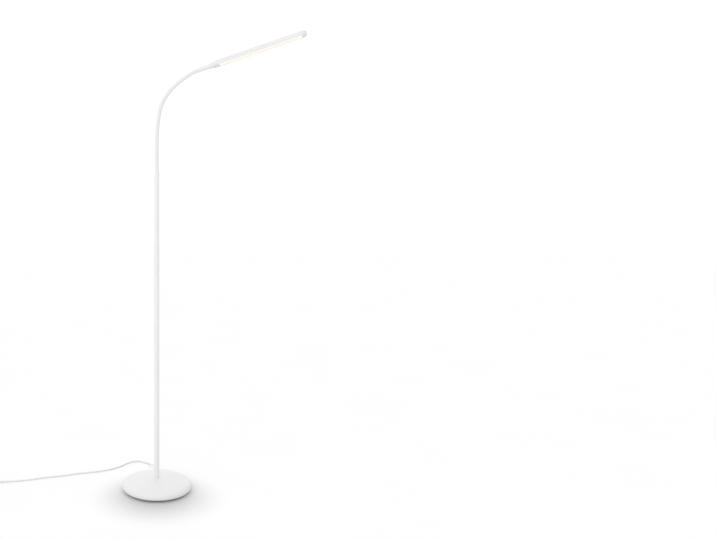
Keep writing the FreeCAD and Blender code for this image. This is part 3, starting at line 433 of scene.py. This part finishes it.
def coil_points(turned):
    """Middle of the cord at turned angles: the radius falls by a pitch a turn, turns round in half a turn while the
    height rises by a layer along a half cosine, and grows by a pitch a turn; the last quarter turn sinks to the
    plug's height."""
    spread = turn_pitch / (2 * math.pi)
    climb = turned - lower_end
    inner = coil_radius - spread * lower_end
    radius = np.where(turned < lower_end, coil_radius - spread * turned,
                      np.where(turned < climb_end, inner - spread * climb * (1 - climb / math.pi),
                               inner + spread * (turned - climb_end)))
    height = cord_points[-1, 2] + layer_pitch * (1 - np.cos(np.clip(climb, 0, math.pi))) / 2
    drop = np.clip(1 + (turned - coil_end) / (math.pi / 2), 0, 1)
    height = height + (plug_height - height) * (1 - np.cos(math.pi * drop)) / 2
    across = np.outer(np.sin(turned), coil_heading) - np.outer(np.cos(turned), coil_left)
    points = coil_centre + across * radius[:, None]
    points[:, 2] = height
    return points


step = 2 * math.pi / points_per_turn
wound = coil_points(np.arange(step / 2, coil_end, step))
swell = 2 / (1 + math.cos(step / 2))     # the spline runs this much inside its control points
wound[:, :2] = coil_centre[:2] + (wound[:, :2] - coil_centre[:2]) * swell
coil_last = coil_points(np.array([coil_end]))[0]
plug_direction = coil_left
plug_start = coil_last + plug_direction * cord_thickness

route = np.vstack((relief_mouth, relief_mouth + first_run * exit_direction, cord_points, wound, coil_last,
                   plug_start))
cord_curve = bpy.data.curves.new("mains_lead", "CURVE")
cord_curve.dimensions = "3D"
cord_line = cord_curve.splines.new("NURBS")
cord_line.points.add(len(route) - 1)
cord_line.points.foreach_set("co", np.hstack((route, np.ones((len(route), 1)))).ravel())
cord_line.points.foreach_set("radius", np.full(len(route), cord_thickness / 2))
cord_line.order_u = 3
cord_line.use_endpoint_u = True
cord_line.resolution_u = 8
cord_curve.bevel_depth = 1.0     # times each point's radius
cord_curve.bevel_resolution = 5
cord_curve.use_fill_caps = True
cord_white = finish("cord_pvc", (0.90, 0.90, 0.902), (0.885, 0.885, 0.887), roughness=0.42, grain=(0.0015, 0.00002))
cord = put_in("mains_lead", cord_curve)
stand_for(cord, cord_white, "stand", "cord_white", "mains_cord", "cord_coil")
dress(cord_white, "inner_cord")


# ------------------------ bend relief
# Soft white moulding where the cord leaves the base: a flange inside the cover, a collar outside it, and a taper
# with cut rings that lets the cord bend without kinking.
relief_bore = 0.0025
flange_start, flange_radius, flange_thickness = 0.1015, 0.0060, 0.0016
waist_radius = 0.0049
collar_start, collar_end, collar_radius = 0.1101, 0.1121, 0.0064
inner_edge, outer_edge, tip_edge = 0.0004, 0.0006, 0.0004     # how far the collar and the tip are rounded
relief_root, relief_tip = 0.0048, 0.0033
ring_count, plain_root, plain_tip = 4, 0.6, 0.002     # plain_root in pitches
ring_pitch = (relief_end - collar_end) / (ring_count + plain_root)
ring_depth, ring_gap = 0.0007, 0.0016


def relief_profile():
    """Outline (distance from the lamp's axis, radius) of the relief: flange, waist, collar and grooved taper.

    The taper's radius falls evenly from root to tip. Each groove takes half an ellipse out of it, ring_gap wide and
    ring_depth deep."""
    along = np.linspace(collar_end, relief_end, 141)
    share = (along - collar_end) / (relief_end - collar_end)
    radius = relief_root + share * (relief_tip - relief_root)
    start = collar_end + ring_pitch * plain_root
    phase = (along - start) % ring_pitch
    in_groove = (phase < ring_gap) & (along >= start) & (along < relief_end - plain_tip)
    hollow = np.clip(1 - (2 * phase / ring_gap - 1) ** 2, 0, 1)
    radius = radius - np.where(in_groove, ring_depth * np.sqrt(hollow), 0)
    taper = np.stack((along, radius), -1)
    return np.vstack((
        (flange_start, relief_bore), (flange_start, flange_radius), (flange_start + flange_thickness, flange_radius),
        (flange_start + flange_thickness, waist_radius), (collar_start, waist_radius),
        (collar_start, collar_radius - inner_edge),
        bow((collar_start + inner_edge, collar_radius - inner_edge), inner_edge, 180, 90, 4),
        bow((collar_end - outer_edge, collar_radius - outer_edge), outer_edge, 90, 0, 5), taper[:-4],
        bow((relief_end - tip_edge, relief_tip - tip_edge), tip_edge, 90, 0, 4), (relief_end, relief_bore),
        (flange_start, relief_bore),
    ))


def laid_along(grid, origin, ahead):
    """Takes a grid turned about Z to one turned about a level direction: its height runs along ahead from origin."""
    ahead = np.asarray(ahead, float)
    aside = np.cross(upright, ahead)
    return origin + grid[..., 2:] * ahead + grid[..., :1] * aside + grid[..., 1:2] * upright


relief_grid = laid_along(turned_grid(relief_profile()[:, ::-1], 48), (0, 0, exit_height), exit_direction)
relief = stand_for(surface("bend_relief", relief_grid), cord_white, "stand", "cord_white", "strain_relief")


# ------------------------ tie, plug and pins
# A soft band holds the coil. The flat two-pin plug is moulded onto the cord: a ringed boot, finger flats at the
# waist and a straight face with two round pins, sleeved over their inner half.
tie_wall, tie_half_width, tie_corner = 0.0007, 0.004, 0.0009
tie_flat, tie_edge_wall = 0.94, 0.3     # shares: the width that is flat, and the wall left at the edge
tie_slack = 0.0003
innermost = coil_radius - turn_pitch * lower_turns - cord_thickness / 2
outermost = coil_radius + turn_pitch * (upper_turns - 0.5 - lower_turns) + cord_thickness / 2
tie_low = math.sqrt(innermost ** 2 - tie_half_width ** 2) - tie_slack
tie_high = outermost + tie_slack
tie_bottom = cord_points[-1, 2] - cord_thickness / 2
tie_top = tie_bottom + cord_thickness + layer_pitch + tie_slack


def rounded_loop(half_width, half_height, corner, count=7):
    """Closed outline of a rectangle with round corners about the origin, corner by corner, anticlockwise."""
    loops = []
    for quarter, (sx, sy) in enumerate(((1, 1), (-1, 1), (-1, -1), (1, -1))):
        centre = (sx * (half_width - corner), sy * (half_height - corner))
        loops.append(bow(centre, corner, 90 * quarter, 90 * quarter + 90, count))
    loop = np.vstack(loops)
    return np.vstack((loop, loop[:1]))


def band_grid():
    """Band round the coil: each row is the loop at one place across the band, out over the outside and back inside.

    A row's loop is the inner one grown by its share of the wall: all of it over the flat, less at the edges."""
    half_width, half_height = (tie_high - tie_low) / 2, (tie_top - tie_bottom) / 2
    rows = []
    for across, wall in ((-1, tie_edge_wall), (-tie_flat, 1), (tie_flat, 1), (1, tie_edge_wall), (tie_flat, 0),
                         (-tie_flat, 0), (-1, tie_edge_wall)):
        grow = tie_wall * wall
        loop = rounded_loop(half_width + grow, half_height + grow, tie_corner + grow)
        rows.append(np.stack((loop[:, 0] + (tie_low + tie_high) / 2, np.full(len(loop), across * tie_half_width),
                              loop[:, 1] + (tie_bottom + tie_top) / 2), -1))
    grid = np.array(rows)
    flat_centre = np.array((coil_centre[0], coil_centre[1], 0))
    return flat_centre - grid[..., :1] * coil_heading - grid[..., 1:2] * coil_left + grid[..., 2:] * upright


tie = stand_for(surface("coil_tie", band_grid()),
                finish("tie_silicone", (0.74, 0.74, 0.74), (0.70, 0.70, 0.70), roughness=0.6,
                       grain=(0.0007, 0.00004)),
                "stand", "tie_white", "cord_tie")

boot_length, boot_root, boot_end = 0.016, 0.0034, 0.0046
boot_rings, boot_groove = 5, 0.00035
body_length, body_root = 0.036, 0.0050
plug_half_width, plug_half_height = 0.017, 0.007
finger_dip, dip_start, dip_length = 0.0007, 0.15, 0.7     # start and length as shares of the body
face_power, face_edge = 4.2, 0.0006
pin_sleeve_share, pin_sleeve_radius = 0.45, 0.00185
pin_radius, pin_length, pin_spacing = 0.002, 0.019, 0.0186


def plug_grid():
    """Plug as superellipses along its length, (cos a, sin a) to the power 2 / p, with p going from 2 to face_power.

    The body's half width eases from body_root to the face, 3 s^2 - 2 s^3 to the power 0.8, and its half height grows
    evenly over the first 1 / 2.2 of it. Boot grooves lie where a sine of the length is above 0.2, and the finger
    flats take a squared sine out of the thickness."""
    along = np.concatenate((np.linspace(0, boot_length, 49), boot_length + np.linspace(0.0005, body_length, 40)))
    share = np.clip((along - boot_length) / body_length, 0, 1)
    boot = np.clip(along / boot_length, 0, 1)
    ease = share * share * (3 - 2 * share)
    grooved = (np.sin(boot * 2 * math.pi * boot_rings) > 0.2) & (along < boot_length * 0.96) & (along > 0.001)
    boot_radius = boot_root + (boot_end - boot_root) * boot - boot_groove * grooved
    wider, taller = plug_half_width - body_root, plug_half_height - body_root
    half_wide = np.where(share > 0, body_root + ease ** 0.8 * wider, boot_radius)
    half_tall = np.where(share > 0, body_root + np.clip(share * 2.2, 0, 1) * taller, boot_radius)
    half_tall = half_tall - finger_dip * np.sin(math.pi * np.clip((share - dip_start) / dip_length, 0, 1)) ** 2
    angle = np.linspace(0, 2 * math.pi, 73)
    power = 2 / (2 + (face_power - 2) * np.clip(share * 3, 0, 1))[:, None]
    wide = half_wide[:, None] * np.sign(np.cos(angle)) * np.abs(np.cos(angle)) ** power
    tall = half_tall[:, None] * np.sign(np.sin(angle)) * np.abs(np.sin(angle)) ** power
    grid = np.stack((wide, tall, along[:, None] + 0 * angle), -1)
    edge = grid[-1:] * (0.94, 0.88, 1) + (0, 0, face_edge)
    return np.concatenate((grid[:1] * (0, 0, 1), grid, edge, edge * (0, 0, 1)))


plug = stand_for(surface("plug_body", laid_along(plug_grid(), plug_start, plug_direction), crease=50),
                 finish("plug_plastic", (0.78, 0.78, 0.782), (0.76, 0.76, 0.762), roughness=0.4,
                        grain=(0.0008, 0.00002)),
                 "stand", "plug_white", "mains_plug")

pin_face = plug_start + plug_direction * (boot_length + body_length + face_edge)
pin_aside = np.cross(upright, plug_direction)
sleeve_end = pin_sleeve_share * pin_length


def pin_pair(name, profile):
    """The same turned form on both pins, half the spacing to each side of the face's middle."""
    turned = turned_grid(profile, 32)
    return surface(name, *(laid_along(turned, pin_face + side * pin_spacing / 2 * pin_aside, plug_direction)
                           for side in (-1, 1)))


pin_tips = pin_pair("pin_tips", np.vstack((
    (0, sleeve_end), (pin_radius, sleeve_end),
    bow((0, pin_length - face_edge - pin_radius), pin_radius, 0, 90, 9),
)))
stand_for(pin_tips, finish("nickelled_brass", (0.72, 0.69, 0.62), (0.64, 0.61, 0.54), roughness=0.25,
                           grain=(0.0005, 0.00001), patch_size=0.006, metallic=1.0),
          "stand", "pin_brass", "plug_pins")
pin_sleeves = pin_pair("pin_sleeves", np.array((
    (0, 0), (pin_sleeve_radius, 0), (pin_sleeve_radius, sleeve_end), (0, sleeve_end),
)))
stand_for(pin_sleeves, plug.data.materials[0], "stand", "plug_white")


# ------------------------ pole
# Three white painted steel tubes, screwed end to end over hidden studs so that only a hairline shows, with a brass
# bush pressed into the foot. Powder coat gives the paint its fine even texture.
pole_radius, pole_bore = 0.008, 0.0068
pole_foot, pole_top = outside[0, 1], 1.003
tube_edge = 0.0003
pole_white = finish("pole_powder_coat", (0.835, 0.835, 0.839), (0.822, 0.822, 0.827), roughness=0.42,
                    grain=(0.0011, 0.000025))
tube_length = (pole_top - pole_foot) / 3
for count, place in enumerate(("lower", "middle", "upper")):
    low = pole_foot + count * tube_length
    high = low + tube_length
    tube_profile = np.vstack((
        (pole_bore, low), bow((pole_radius - tube_edge, low + tube_edge), tube_edge, -90, 0, 4),
        bow((pole_radius - tube_edge, high - tube_edge), tube_edge, 0, 90, 4), (pole_bore, high), (pole_bore, low),
    ))
    stand_for(surface("tube_" + place, turned_grid(tube_profile, 72)), pole_white, "stand", "pole_white",
              "pole_" + place)
dress(steel, "pole_couplers")
dress(finish("bush_brass", (0.62, 0.47, 0.22), (0.52, 0.39, 0.18), roughness=0.35, grain=(0.0008, 0.00001),
             patch_size=0.01, metallic=1.0), "pole_foot_bush")


# ------------------------ collar
# Turned and painted collar on top of the pole: a foot ring as wide as the pole, a short cone, a slim body and a
# raised lip round the socket that the neck stands in.
collar_height = 0.029
spigot_length, spigot_radius, spigot_bore = 0.020, 0.00675, 0.0035
socket_floor = 0.009
ring_height, cone_height = 0.0048, 0.0036
cone_step, cone_fade = 0.0001, 0.0006     # how the cone's top runs out into the slim body
slim, lip = 0.007, 0.0074
lip_start, lip_height = 0.0204, 0.0046
neck_radius = 0.006
neck_play = 0.0001
mouth_radius = neck_radius + neck_play
soft = 0.0005     # radius of the rounded edges
collar_profile = np.vstack((
    (spigot_bore, -spigot_length), (spigot_radius, -spigot_length), (spigot_radius, 0), (pole_radius - tube_edge, 0),
    bow((pole_radius - tube_edge, tube_edge), tube_edge, -90, 0, 4)[1:],
    bow((pole_radius - soft, ring_height - soft), soft, 0, 45, 4),
    (slim + cone_step, ring_height + cone_height), (slim, ring_height + cone_height + cone_fade),
    (slim, lip_start), bow((lip - soft, lip_start + soft), soft, -60, 0, 5),
    bow((lip - soft, lip_start + lip_height - soft), soft, 0, 60, 5),
    (slim, lip_start + lip_height), bow((slim - soft, collar_height - soft), soft, 0, 90, 5),
    (mouth_radius, collar_height), (mouth_radius, socket_floor), (spigot_bore, socket_floor),
    (spigot_bore, -spigot_length),
)) + (0, pole_top)
stand_for(surface("collar", turned_grid(collar_profile, 96)), pole_white, "stand", "collar_white", "neck_collar")
dress(steel, "collar_screw")


# ------------------------ neck
# Smooth white sleeve, 12 mm thick, over a wound steel core that stays where it is bent. The skin is one tube cut
# into lengths, each of which spans one of the seven places where the neck is jointed.
sleeve_wall = 0.0014
link_length = 0.0515
first_joint, tip_run = 0.022, 0.022     # from the collar to the first joint, and from the last to the head
socket_depth = 0.018     # how far the tip stands in the head's socket
ring_spacing = 0.0012
sideways = np.array((0.0, 1.0, 0.0))
neck_foot = pole_top + socket_floor
neck_lengths = np.array((collar_height - socket_floor + first_joint, *(6 * (link_length,)), tip_run,
                         socket_depth))
neck_bends = np.radians((0, 0.8, 3.8, 9.1, 22.7, 16.5, 8.0, 13.1, 0))
run_starts = np.concatenate(((0,), np.cumsum(neck_lengths)))
run_leans = np.concatenate(((0,), np.cumsum(neck_bends)))


def middle_line(along):
    """Points and leans of the neck's middle at distances along it: straight runs and arcs of even curvature.

    In a run of length L that bends by b from lean a, lean = a + b t / L, x = L / b (cos a - cos lean) and
    z = L / b (sin lean - sin a)."""
    starts = [np.array((0.0, 0.0, neck_foot))]
    for length, lean, bend in zip(neck_lengths, run_leans, neck_bends):
        starts.append(starts[-1] + run_step(length, length, lean, bend)[0])
    run = np.clip(np.searchsorted(run_starts, along, side="right") - 1, 0, len(neck_lengths) - 1)
    points = np.empty((len(along), 3))
    leans = np.empty(len(along))
    for number in np.unique(run):
        here = run == number
        moved, lean = run_step(along[here] - run_starts[number], neck_lengths[number], run_leans[number],
                               neck_bends[number])
        points[here] = starts[number] + moved
        leans[here] = lean
    return points, leans


def run_step(travelled, length, lean, bend):
    """Movement and lean after a distance travelled in one run."""
    travelled = np.atleast_1d(np.asarray(travelled, float))
    leaning = lean + bend * travelled / length
    if bend:
        moved = length / bend * np.stack((np.cos(lean) - np.cos(leaning), 0 * leaning,
                                          np.sin(leaning) - np.sin(lean)), -1)
    else:
        moved = travelled[:, None] * np.array((math.sin(lean), 0.0, math.cos(lean)))
    return moved, leaning


def skin_grid(start, end):
    """Tube wall round the middle line from start to end: rings of the outer radius, then of the bore going back."""
    count = max(2, int((end - start) / ring_spacing))
    there = np.linspace(start, end, count)
    along = np.concatenate((there, there[::-1], there[:1]))
    radius = np.concatenate((np.full(count, neck_radius), np.full(count, neck_radius - sleeve_wall),
                             (neck_radius,)))[:, None]
    points, lean = middle_line(along)
    angle = np.linspace(0, 2 * math.pi, 65)
    outward = np.stack((np.cos(lean), 0 * lean, -np.sin(lean)), -1)
    return (points[:, None] + (radius * np.cos(angle))[..., None] * outward[:, None]
            + (radius * np.sin(angle))[..., None] * sideways)


sleeve_white = finish("neck_sleeve", (0.805, 0.805, 0.810), (0.792, 0.792, 0.797), roughness=0.5,
                      grain=(0.0008, 0.00002))
joint_places = run_starts[1:8]
cuts = np.concatenate(((0,), (joint_places[:-1] + joint_places[1:]) / 2, run_starts[-1:]))
stood_for = [("neck_sleeve_foot",)] + [("neck_sleeve_%d" % number,) for number in range(1, 6)]
stood_for.append(("neck_sleeve_6", "neck_sleeve_tip"))
for number, joint in enumerate(joint_places):
    skin = surface("neck_skin_%d" % (number + 1), skin_grid(cuts[number], cuts[number + 1]), crease=60)
    skin.data.materials.append(sleeve_white)
    free = {0: first_joint, 6: tip_run}.get(number, math.inf)     # the first and last pieces reach from their joint only as far as the collar and the head's socket
    reach = min(joint - cuts[number], cuts[number + 1] - joint, free)
    ends = middle_line(np.array((joint - reach, joint + reach)))[0]
    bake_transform(skin)
    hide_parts(*stood_for[number])

core_steel = finish("wound_steel", (0.42, 0.42, 0.43), (0.34, 0.34, 0.35), roughness=0.4, grain=(0.0012, 0.0001),
                    patch_size=0.006, metallic=1.0)
dress(core_steel, "neck_core_foot", "neck_core_tip", *("neck_core_%d" % number for number in range(1, 7)))
dress(lead_black, "head_lead", *("neck_lead_%d" % number for number in range(1, 7)))


# ------------------------ lamp head housing
# One white moulding: a round socket for the neck that widens smoothly into a long flat bar with a half-round tip.
# It is open below, with a ledge for the plate that carries the light window.
head_origin, head_lean = middle_line(run_starts[8:9])
head_along = np.array((math.sin(head_lean[0]), 0.0, math.cos(head_lean[0])))
head_up = np.array((-math.cos(head_lean[0]), 0.0, math.sin(head_lean[0])))
half_width = 0.019
head_bottom, head_top = -0.00575, 0.00775
edge_below, edge_above = 0.001, 0.003
socket_radius, socket_length = 0.007, 0.034
socket_edge, socket_edge_share = 0.0003, 0.04     # rounding of the socket's mouth, in length and as share of radius
flare_end, tip_centre = 0.064, 0.328
flare_along = np.array((0, 0.19, 0.40, 0.60, 0.80, 1.0))
flare_share = np.array((0, 0.10, 0.36, 0.68, 0.92, 1.0))
recess = 0.0006
plate_thickness = 0.0015
ledge_height = head_bottom + recess + plate_thickness
mouth_start, mouth_nose = 0.05385, 0.01065
mouth_shoulder, mouth_half = 0.066, 0.01675
nose_ledge = 0.0009
room_start, room_nose, room_half = 0.060, 0.0125, 0.0157
room_top = head_top - 0.002
mouth_edge = 0.00025
bar_start = 0.072


def smooth_share(along):
    """How far the flare has gone from socket to full section: a smooth curve through the designed shares.

    Cubic Hermite between the stations, with slopes from their neighbours and level at both ends."""
    slope = np.gradient(flare_share, flare_along)
    slope[[0, -1]] = 0
    spot = np.clip(np.searchsorted(flare_along, along, side="right") - 1, 0, len(flare_along) - 2)
    width = flare_along[spot + 1] - flare_along[spot]
    t = np.clip((along - flare_along[spot]) / width, 0, 1)
    return ((2 * t ** 3 - 3 * t ** 2 + 1) * flare_share[spot] + (t ** 3 - 2 * t ** 2 + t) * width * slope[spot]
            + (3 * t ** 2 - 2 * t ** 3) * flare_share[spot + 1] + (t ** 3 - t ** 2) * width * slope[spot + 1])


def part_way(x, start, end):
    """How far x has gone from start to end: 0 before, 1 after."""
    return np.clip((x - start) / (end - start), 0, 1)


def half_section(x, scale=1.0, mouth=True, room=True):
    """Right half of the housing's section at x, from the roof's middle inside, round the rim, to the top's middle.

    Where the mouth or the room under the roof doesn't reach, their points lie together at the bottom's middle."""
    share = smooth_share(part_way(x, socket_length, flare_end))
    wide = socket_radius + share * (half_width - socket_radius)
    low = -socket_radius + share * (head_bottom + socket_radius)
    high = socket_radius + share * (head_top - socket_radius)
    round_low = socket_radius + share * (edge_below - socket_radius)
    round_high = socket_radius + share * (edge_above - socket_radius)
    if mouth:
        rim = mouth_nose + part_way(x, mouth_start, mouth_shoulder) * (mouth_half - mouth_nose)
        roomy = room_nose + part_way(x, room_start, mouth_shoulder) * (room_half - room_nose)
        wall = roomy if room else rim - nose_ledge
        roof = room_top if room else ledge_height
        inner = [(0, roof), (wall, roof), (wall, ledge_height), (rim, ledge_height), (rim, low + mouth_edge),
                 (rim + mouth_edge, low)]
    else:
        inner = [(0, low)] * 6
    outline = np.vstack((inner, bow((wide - round_low, low + round_low), round_low, -90, 0, 9),
                         bow((wide - round_high, high - round_high), round_high, 0, 90, 13), (0, high)))
    return outline * scale


def ring_at(x, *args, **options):
    """Whole section at x as a closed ring of points: the right half, then the mirrored left half going back."""
    half = half_section(x, *args, **options)
    right = np.column_stack((np.full(len(half), x), half))
    return np.vstack((right, (right * (1, -1, 1))[::-1], right[:1]))


def placed_on_head(grid):
    """Head coordinates, along, across and up from the neck's end, to the model's frame."""
    return head_origin[0] + grid[..., :1] * head_along + grid[..., 1:2] * sideways + grid[..., 2:] * head_up


def housing_grids():
    """Bar: rings from the socket's floor out to its mouth and back along the outside to the tip's centre.
    Tip: the half section turned half a circle about the tip's centre."""
    bore = mouth_radius / socket_radius
    rings = [ring_at(socket_depth, 0.0, mouth=False), ring_at(socket_depth, bore, mouth=False)]
    for x, size in ((socket_edge, bore), (0, bore + socket_edge_share), (0, 1 - socket_edge_share),
                    (socket_edge, 1.0)):
        rings.append(ring_at(x, size, mouth=False))
    for stations, closed in ((np.linspace(0.001, socket_length, 12), {"mouth": False}),
                             (np.linspace(socket_length, mouth_start, 28)[1:], {"mouth": False}),
                             (np.linspace(mouth_start, room_start, 9), {"room": False}),
                             (np.linspace(room_start, mouth_shoulder, 9), {}),
                             (np.linspace(bar_start, tip_centre, 33), {})):
        rings += [ring_at(x, **closed) for x in stations]
    half = half_section(tip_centre)
    angle = np.linspace(math.pi / 2, -math.pi / 2, 49)[:, None]
    tip = np.stack((tip_centre + half[:, 0] * np.cos(angle), half[:, 0] * np.sin(angle),
                    half[:, 1] + 0 * angle), -1)
    return placed_on_head(np.array(rings)), placed_on_head(tip)


housing_white = finish("housing_white", (0.805, 0.805, 0.812), (0.795, 0.795, 0.802), roughness=0.42,
                       grain=(0.0009, 0.000015), patch_size=0.08)
stand_for(surface("head_shell", *housing_grids()), housing_white, "head", "housing_white", "head_housing")
dress(steel, "socket_screw")


# ------------------------ underside plate and light window
# Thin white plate that snaps into the recess, with a long window for an opal diffuser. The diffuser glows warm white,
# a little yellower along its edges, and lights the rim round it. The plate carries a painted glow round the window.
plate_start, plate_nose = 0.054, 0.0105
plate_half = 0.0166
window_start, window_end, window_half = 0.073, 0.3285, 0.01425
plate_low = head_bottom + recess
seam = 0.0005
diffuser_gap, diffuser_edge = 0.00015, 0.0003
flange_over, flange_top = 0.0012, ledge_height + 0.001
straight_points, round_points = 20, 25     # along each side of the outlines, and round half of their end


def mirrored_outline(near_end, start, end, half, far_end):
    """Outline from the middle of the near end over the left side, straight at half a width from start to end, and
    the far end; then the same mirrored, going back. The far end's first point is the side's last and left out."""
    side = np.column_stack((np.linspace(start, end, straight_points), np.full(straight_points, half)))
    left = np.vstack((near_end, side[1:], far_end[1:]))
    return np.vstack((left, (left[::-1] * (1, -1))[1:]))


def plate_outline(inset):
    """Plate's edge moved in by inset: a nose, shoulders, and half a circle round the tip."""
    nose, half, start = plate_nose - inset, plate_half - inset, plate_start + inset
    return mirrored_outline([(start, 0), (start, nose), (mouth_shoulder, half)], mouth_shoulder, tip_centre, half,
                            bow((tip_centre, 0), half, 90, 0, round_points))


def window_outline(inset):
    """Window's edge moved in by inset, with as many points as the plate's edge and matched to it."""
    half, start, end = window_half - inset, window_start + inset, window_end - inset
    across = half * (1 - np.arange(round_points) / (round_points - 1))
    return mirrored_outline([(start, 0), (start, half), (start, half)], start, end, half,
                            np.column_stack((np.full(round_points, end), across)))


def rows_of(*levels):
    """Grid of closed outlines, each at its height, in head coordinates."""
    return placed_on_head(np.array([np.column_stack((outline, np.full(len(outline), z)))
                                    for outline, z in levels]))


plate_grid = rows_of(
    (plate_outline(0), ledge_height), (plate_outline(0), plate_low + seam), (plate_outline(seam), plate_low),
    (window_outline(-seam), plate_low), (window_outline(0), plate_low + seam), (window_outline(0), ledge_height),
    (plate_outline(0), ledge_height),
)
plate_white = finish("plate_white", (0.765, 0.765, 0.768), (0.755, 0.755, 0.758), roughness=0.45,
                     grain=(0.0009, 0.000015), patch_size=0.06)
painted_rim_glow, painted_glow_reach = 0.26, 0.0035     # painted glow in the plate round the window, and how far it reaches
painted_glow_colour = (1.0, 0.90, 0.70, 1.0)
window_middle = (window_start + window_end) / 2


def paint_glow_round_window(material):
    """Paints a soft glow into a material round the window: painted light on the plate next to the diffuser.

    With d the distance in the plate's plane from the window, 0 inside it, the painted glow falls evenly from
    painted_rim_glow at d = 0 to nothing at painted_glow_reach. d is the length of max(|distance from the window's
    middle| - half its size, 0)."""
    tree = material.node_tree
    skin = tree.nodes["Principled BSDF"]
    place = node_of(tree, "TexCoord")
    parts = node_of(tree, "SeparateXYZ")
    along = node_of(tree, "VectorMath", operation="DOT_PRODUCT", in_1=tuple(head_along))
    from_middle = node_of(tree, "Math", operation="SUBTRACT", in_1=window_middle + head_origin[0] @ head_along)
    both = node_of(tree, "CombineXYZ")
    chain = [node_of(tree, "VectorMath", operation=kind) for kind in ("ABSOLUTE", "SUBTRACT", "MAXIMUM", "LENGTH")]
    chain[1].inputs[1].default_value = ((window_end - window_start) / 2, window_half, 0)
    fade = node_of(tree, "MapRange", From_Max=painted_glow_reach, To_Min=painted_rim_glow, To_Max=0.0)
    link = tree.links.new
    link(place.outputs["Object"], along.inputs[0])
    link(place.outputs["Object"], parts.inputs[0])
    link(along.outputs["Value"], from_middle.inputs[0])
    link(parts.outputs["Y"], both.inputs[1])
    in_line(tree, from_middle, both, *chain)
    link(chain[-1].outputs["Value"], fade.inputs["Value"])
    link(fade.outputs[0], skin.inputs["Emission Strength"])
    skin.inputs["Emission Color"].default_value = painted_glow_colour


# painted glow round the window, put into the plate's material
paint_glow_round_window(plate_white)
stand_for(surface("window_plate", plate_grid), plate_white, "head", "plate_white", "underside_plate")

glow_seen, glow_spilt = 0.53, 2.6     # as the camera sees it, and as it lights the rim and the plate
glow_middle, glow_edge = (1.0, 0.905, 0.71, 1.0), (1.0, 0.89, 0.64, 1.0)


def glowing_opal():
    """Opal plastic lit from behind: an even warm white that turns yellower close to the window's long edges.

    |y| / half width, to the fourth power, mixes from the middle's colour to the edge's. The milk under it has a
    slow cloud in its tone."""
    material, tree, skin = new_material("opal_glow", Roughness=0.35)
    place = node_of(tree, "TexCoord")
    parts = node_of(tree, "SeparateXYZ")
    away = node_of(tree, "Math", operation="ABSOLUTE")
    share = node_of(tree, "MapRange", From_Min=0.0, From_Max=window_half)
    fourth = node_of(tree, "Math", operation="POWER", in_1=4.0)
    glow = node_of(tree, "Mix", data_type="RGBA")
    glow.inputs[colour_a].default_value = glow_middle
    glow.inputs[colour_b].default_value = glow_edge
    cloud = node_of(tree, "TexNoise", Scale=30.0, Detail=2.0)
    milk = node_of(tree, "MapRange", From_Min=0.35, From_Max=0.65, To_Min=0.41, To_Max=0.43)
    rays = node_of(tree, "LightPath")
    strength = node_of(tree, "MapRange", To_Min=glow_spilt, To_Max=glow_seen)
    link = tree.links.new
    link(rays.outputs["Is Camera Ray"], strength.inputs["Value"])
    link(strength.outputs[0], skin.inputs["Emission Strength"])
    link(place.outputs["Object"], parts.inputs[0])
    link(parts.outputs["Y"], away.inputs[0])
    in_line(tree, away, share, fourth, glow)
    link(glow.outputs[colour_out], skin.inputs["Emission Color"])
    link(place.outputs["Object"], cloud.inputs["Vector"])
    in_line(tree, cloud, milk)
    link(milk.outputs[0], skin.inputs["Base Color"])
    return material


middle = np.tile((window_middle, 0.0), (len(window_outline(0)), 1))
diffuser_grid = rows_of(
    (middle, plate_low), (window_outline(diffuser_gap + diffuser_edge), plate_low),
    (window_outline(diffuser_gap), plate_low + diffuser_edge), (window_outline(diffuser_gap), ledge_height),
    (window_outline(-flange_over), ledge_height), (window_outline(-flange_over), flange_top), (middle, flange_top),
)
stand_for(surface("opal_window", diffuser_grid), glowing_opal(), "head", "diffuser_opal", "diffuser")


# ------------------------ light board and controls
# Inside the housing: an aluminium strip on three bosses, the white board with two rows of diodes, and the small
# board that dims them. A metal touch pad lies in the top near the neck, dished for the fingertip.
dress(finish("spreader_aluminium", (0.72, 0.72, 0.73), (0.64, 0.64, 0.65), roughness=0.4, grain=(0.001, 0.00002),
             patch_size=0.01, metallic=1.0), "heat_spreader")
dress(finish("board_white", (0.80, 0.80, 0.78), (0.76, 0.76, 0.74), roughness=0.4, grain=(0.0008, 0.00001)),
      "led_board")
dress(finish("diode_phosphor", (0.90, 0.72, 0.22), (0.86, 0.66, 0.18), roughness=0.3, grain=(0.0005, 0.00001),
             patch_size=0.003), "leds")
dress(finish("board_green", (0.05, 0.20, 0.10), (0.04, 0.16, 0.08), roughness=0.35, grain=(0.0008, 0.00001)),
      "control_board")
dress(steel, "board_screws")

touch_distance, touch_radius, touch_proud = 0.078, 0.0055, 0.00015
touch_depth, touch_edge, touch_land, touch_dish = 0.001, 0.0003, 0.0005, 0.00035
touch_top = head_top + touch_proud
quarter = np.linspace(0, math.pi / 2, 24)
dish_radius = np.linspace(touch_radius - touch_edge - touch_land, 0, len(quarter))
touch_profile = np.vstack((     # the dish sinks as a sine over a quarter turn from its edge to its middle
    (0, touch_top - touch_depth), (touch_radius, touch_top - touch_depth),
    bow((touch_radius - touch_edge, touch_top - touch_edge), touch_edge, 0, 90, 5),
    np.column_stack((dish_radius, touch_top - touch_dish * np.sin(quarter))),
))
touch_grid = turned_grid(touch_profile, 64) + (touch_distance, 0, 0)
stand_for(surface("touch_button", placed_on_head(touch_grid)),
          finish("brushed_touch", (0.66, 0.66, 0.67), (0.58, 0.58, 0.59), roughness=0.3, grain=(0.0004, 0.00001),
                 patch_size=0.004, metallic=1.0),
          "head", "touch_grey", "touch_pad")
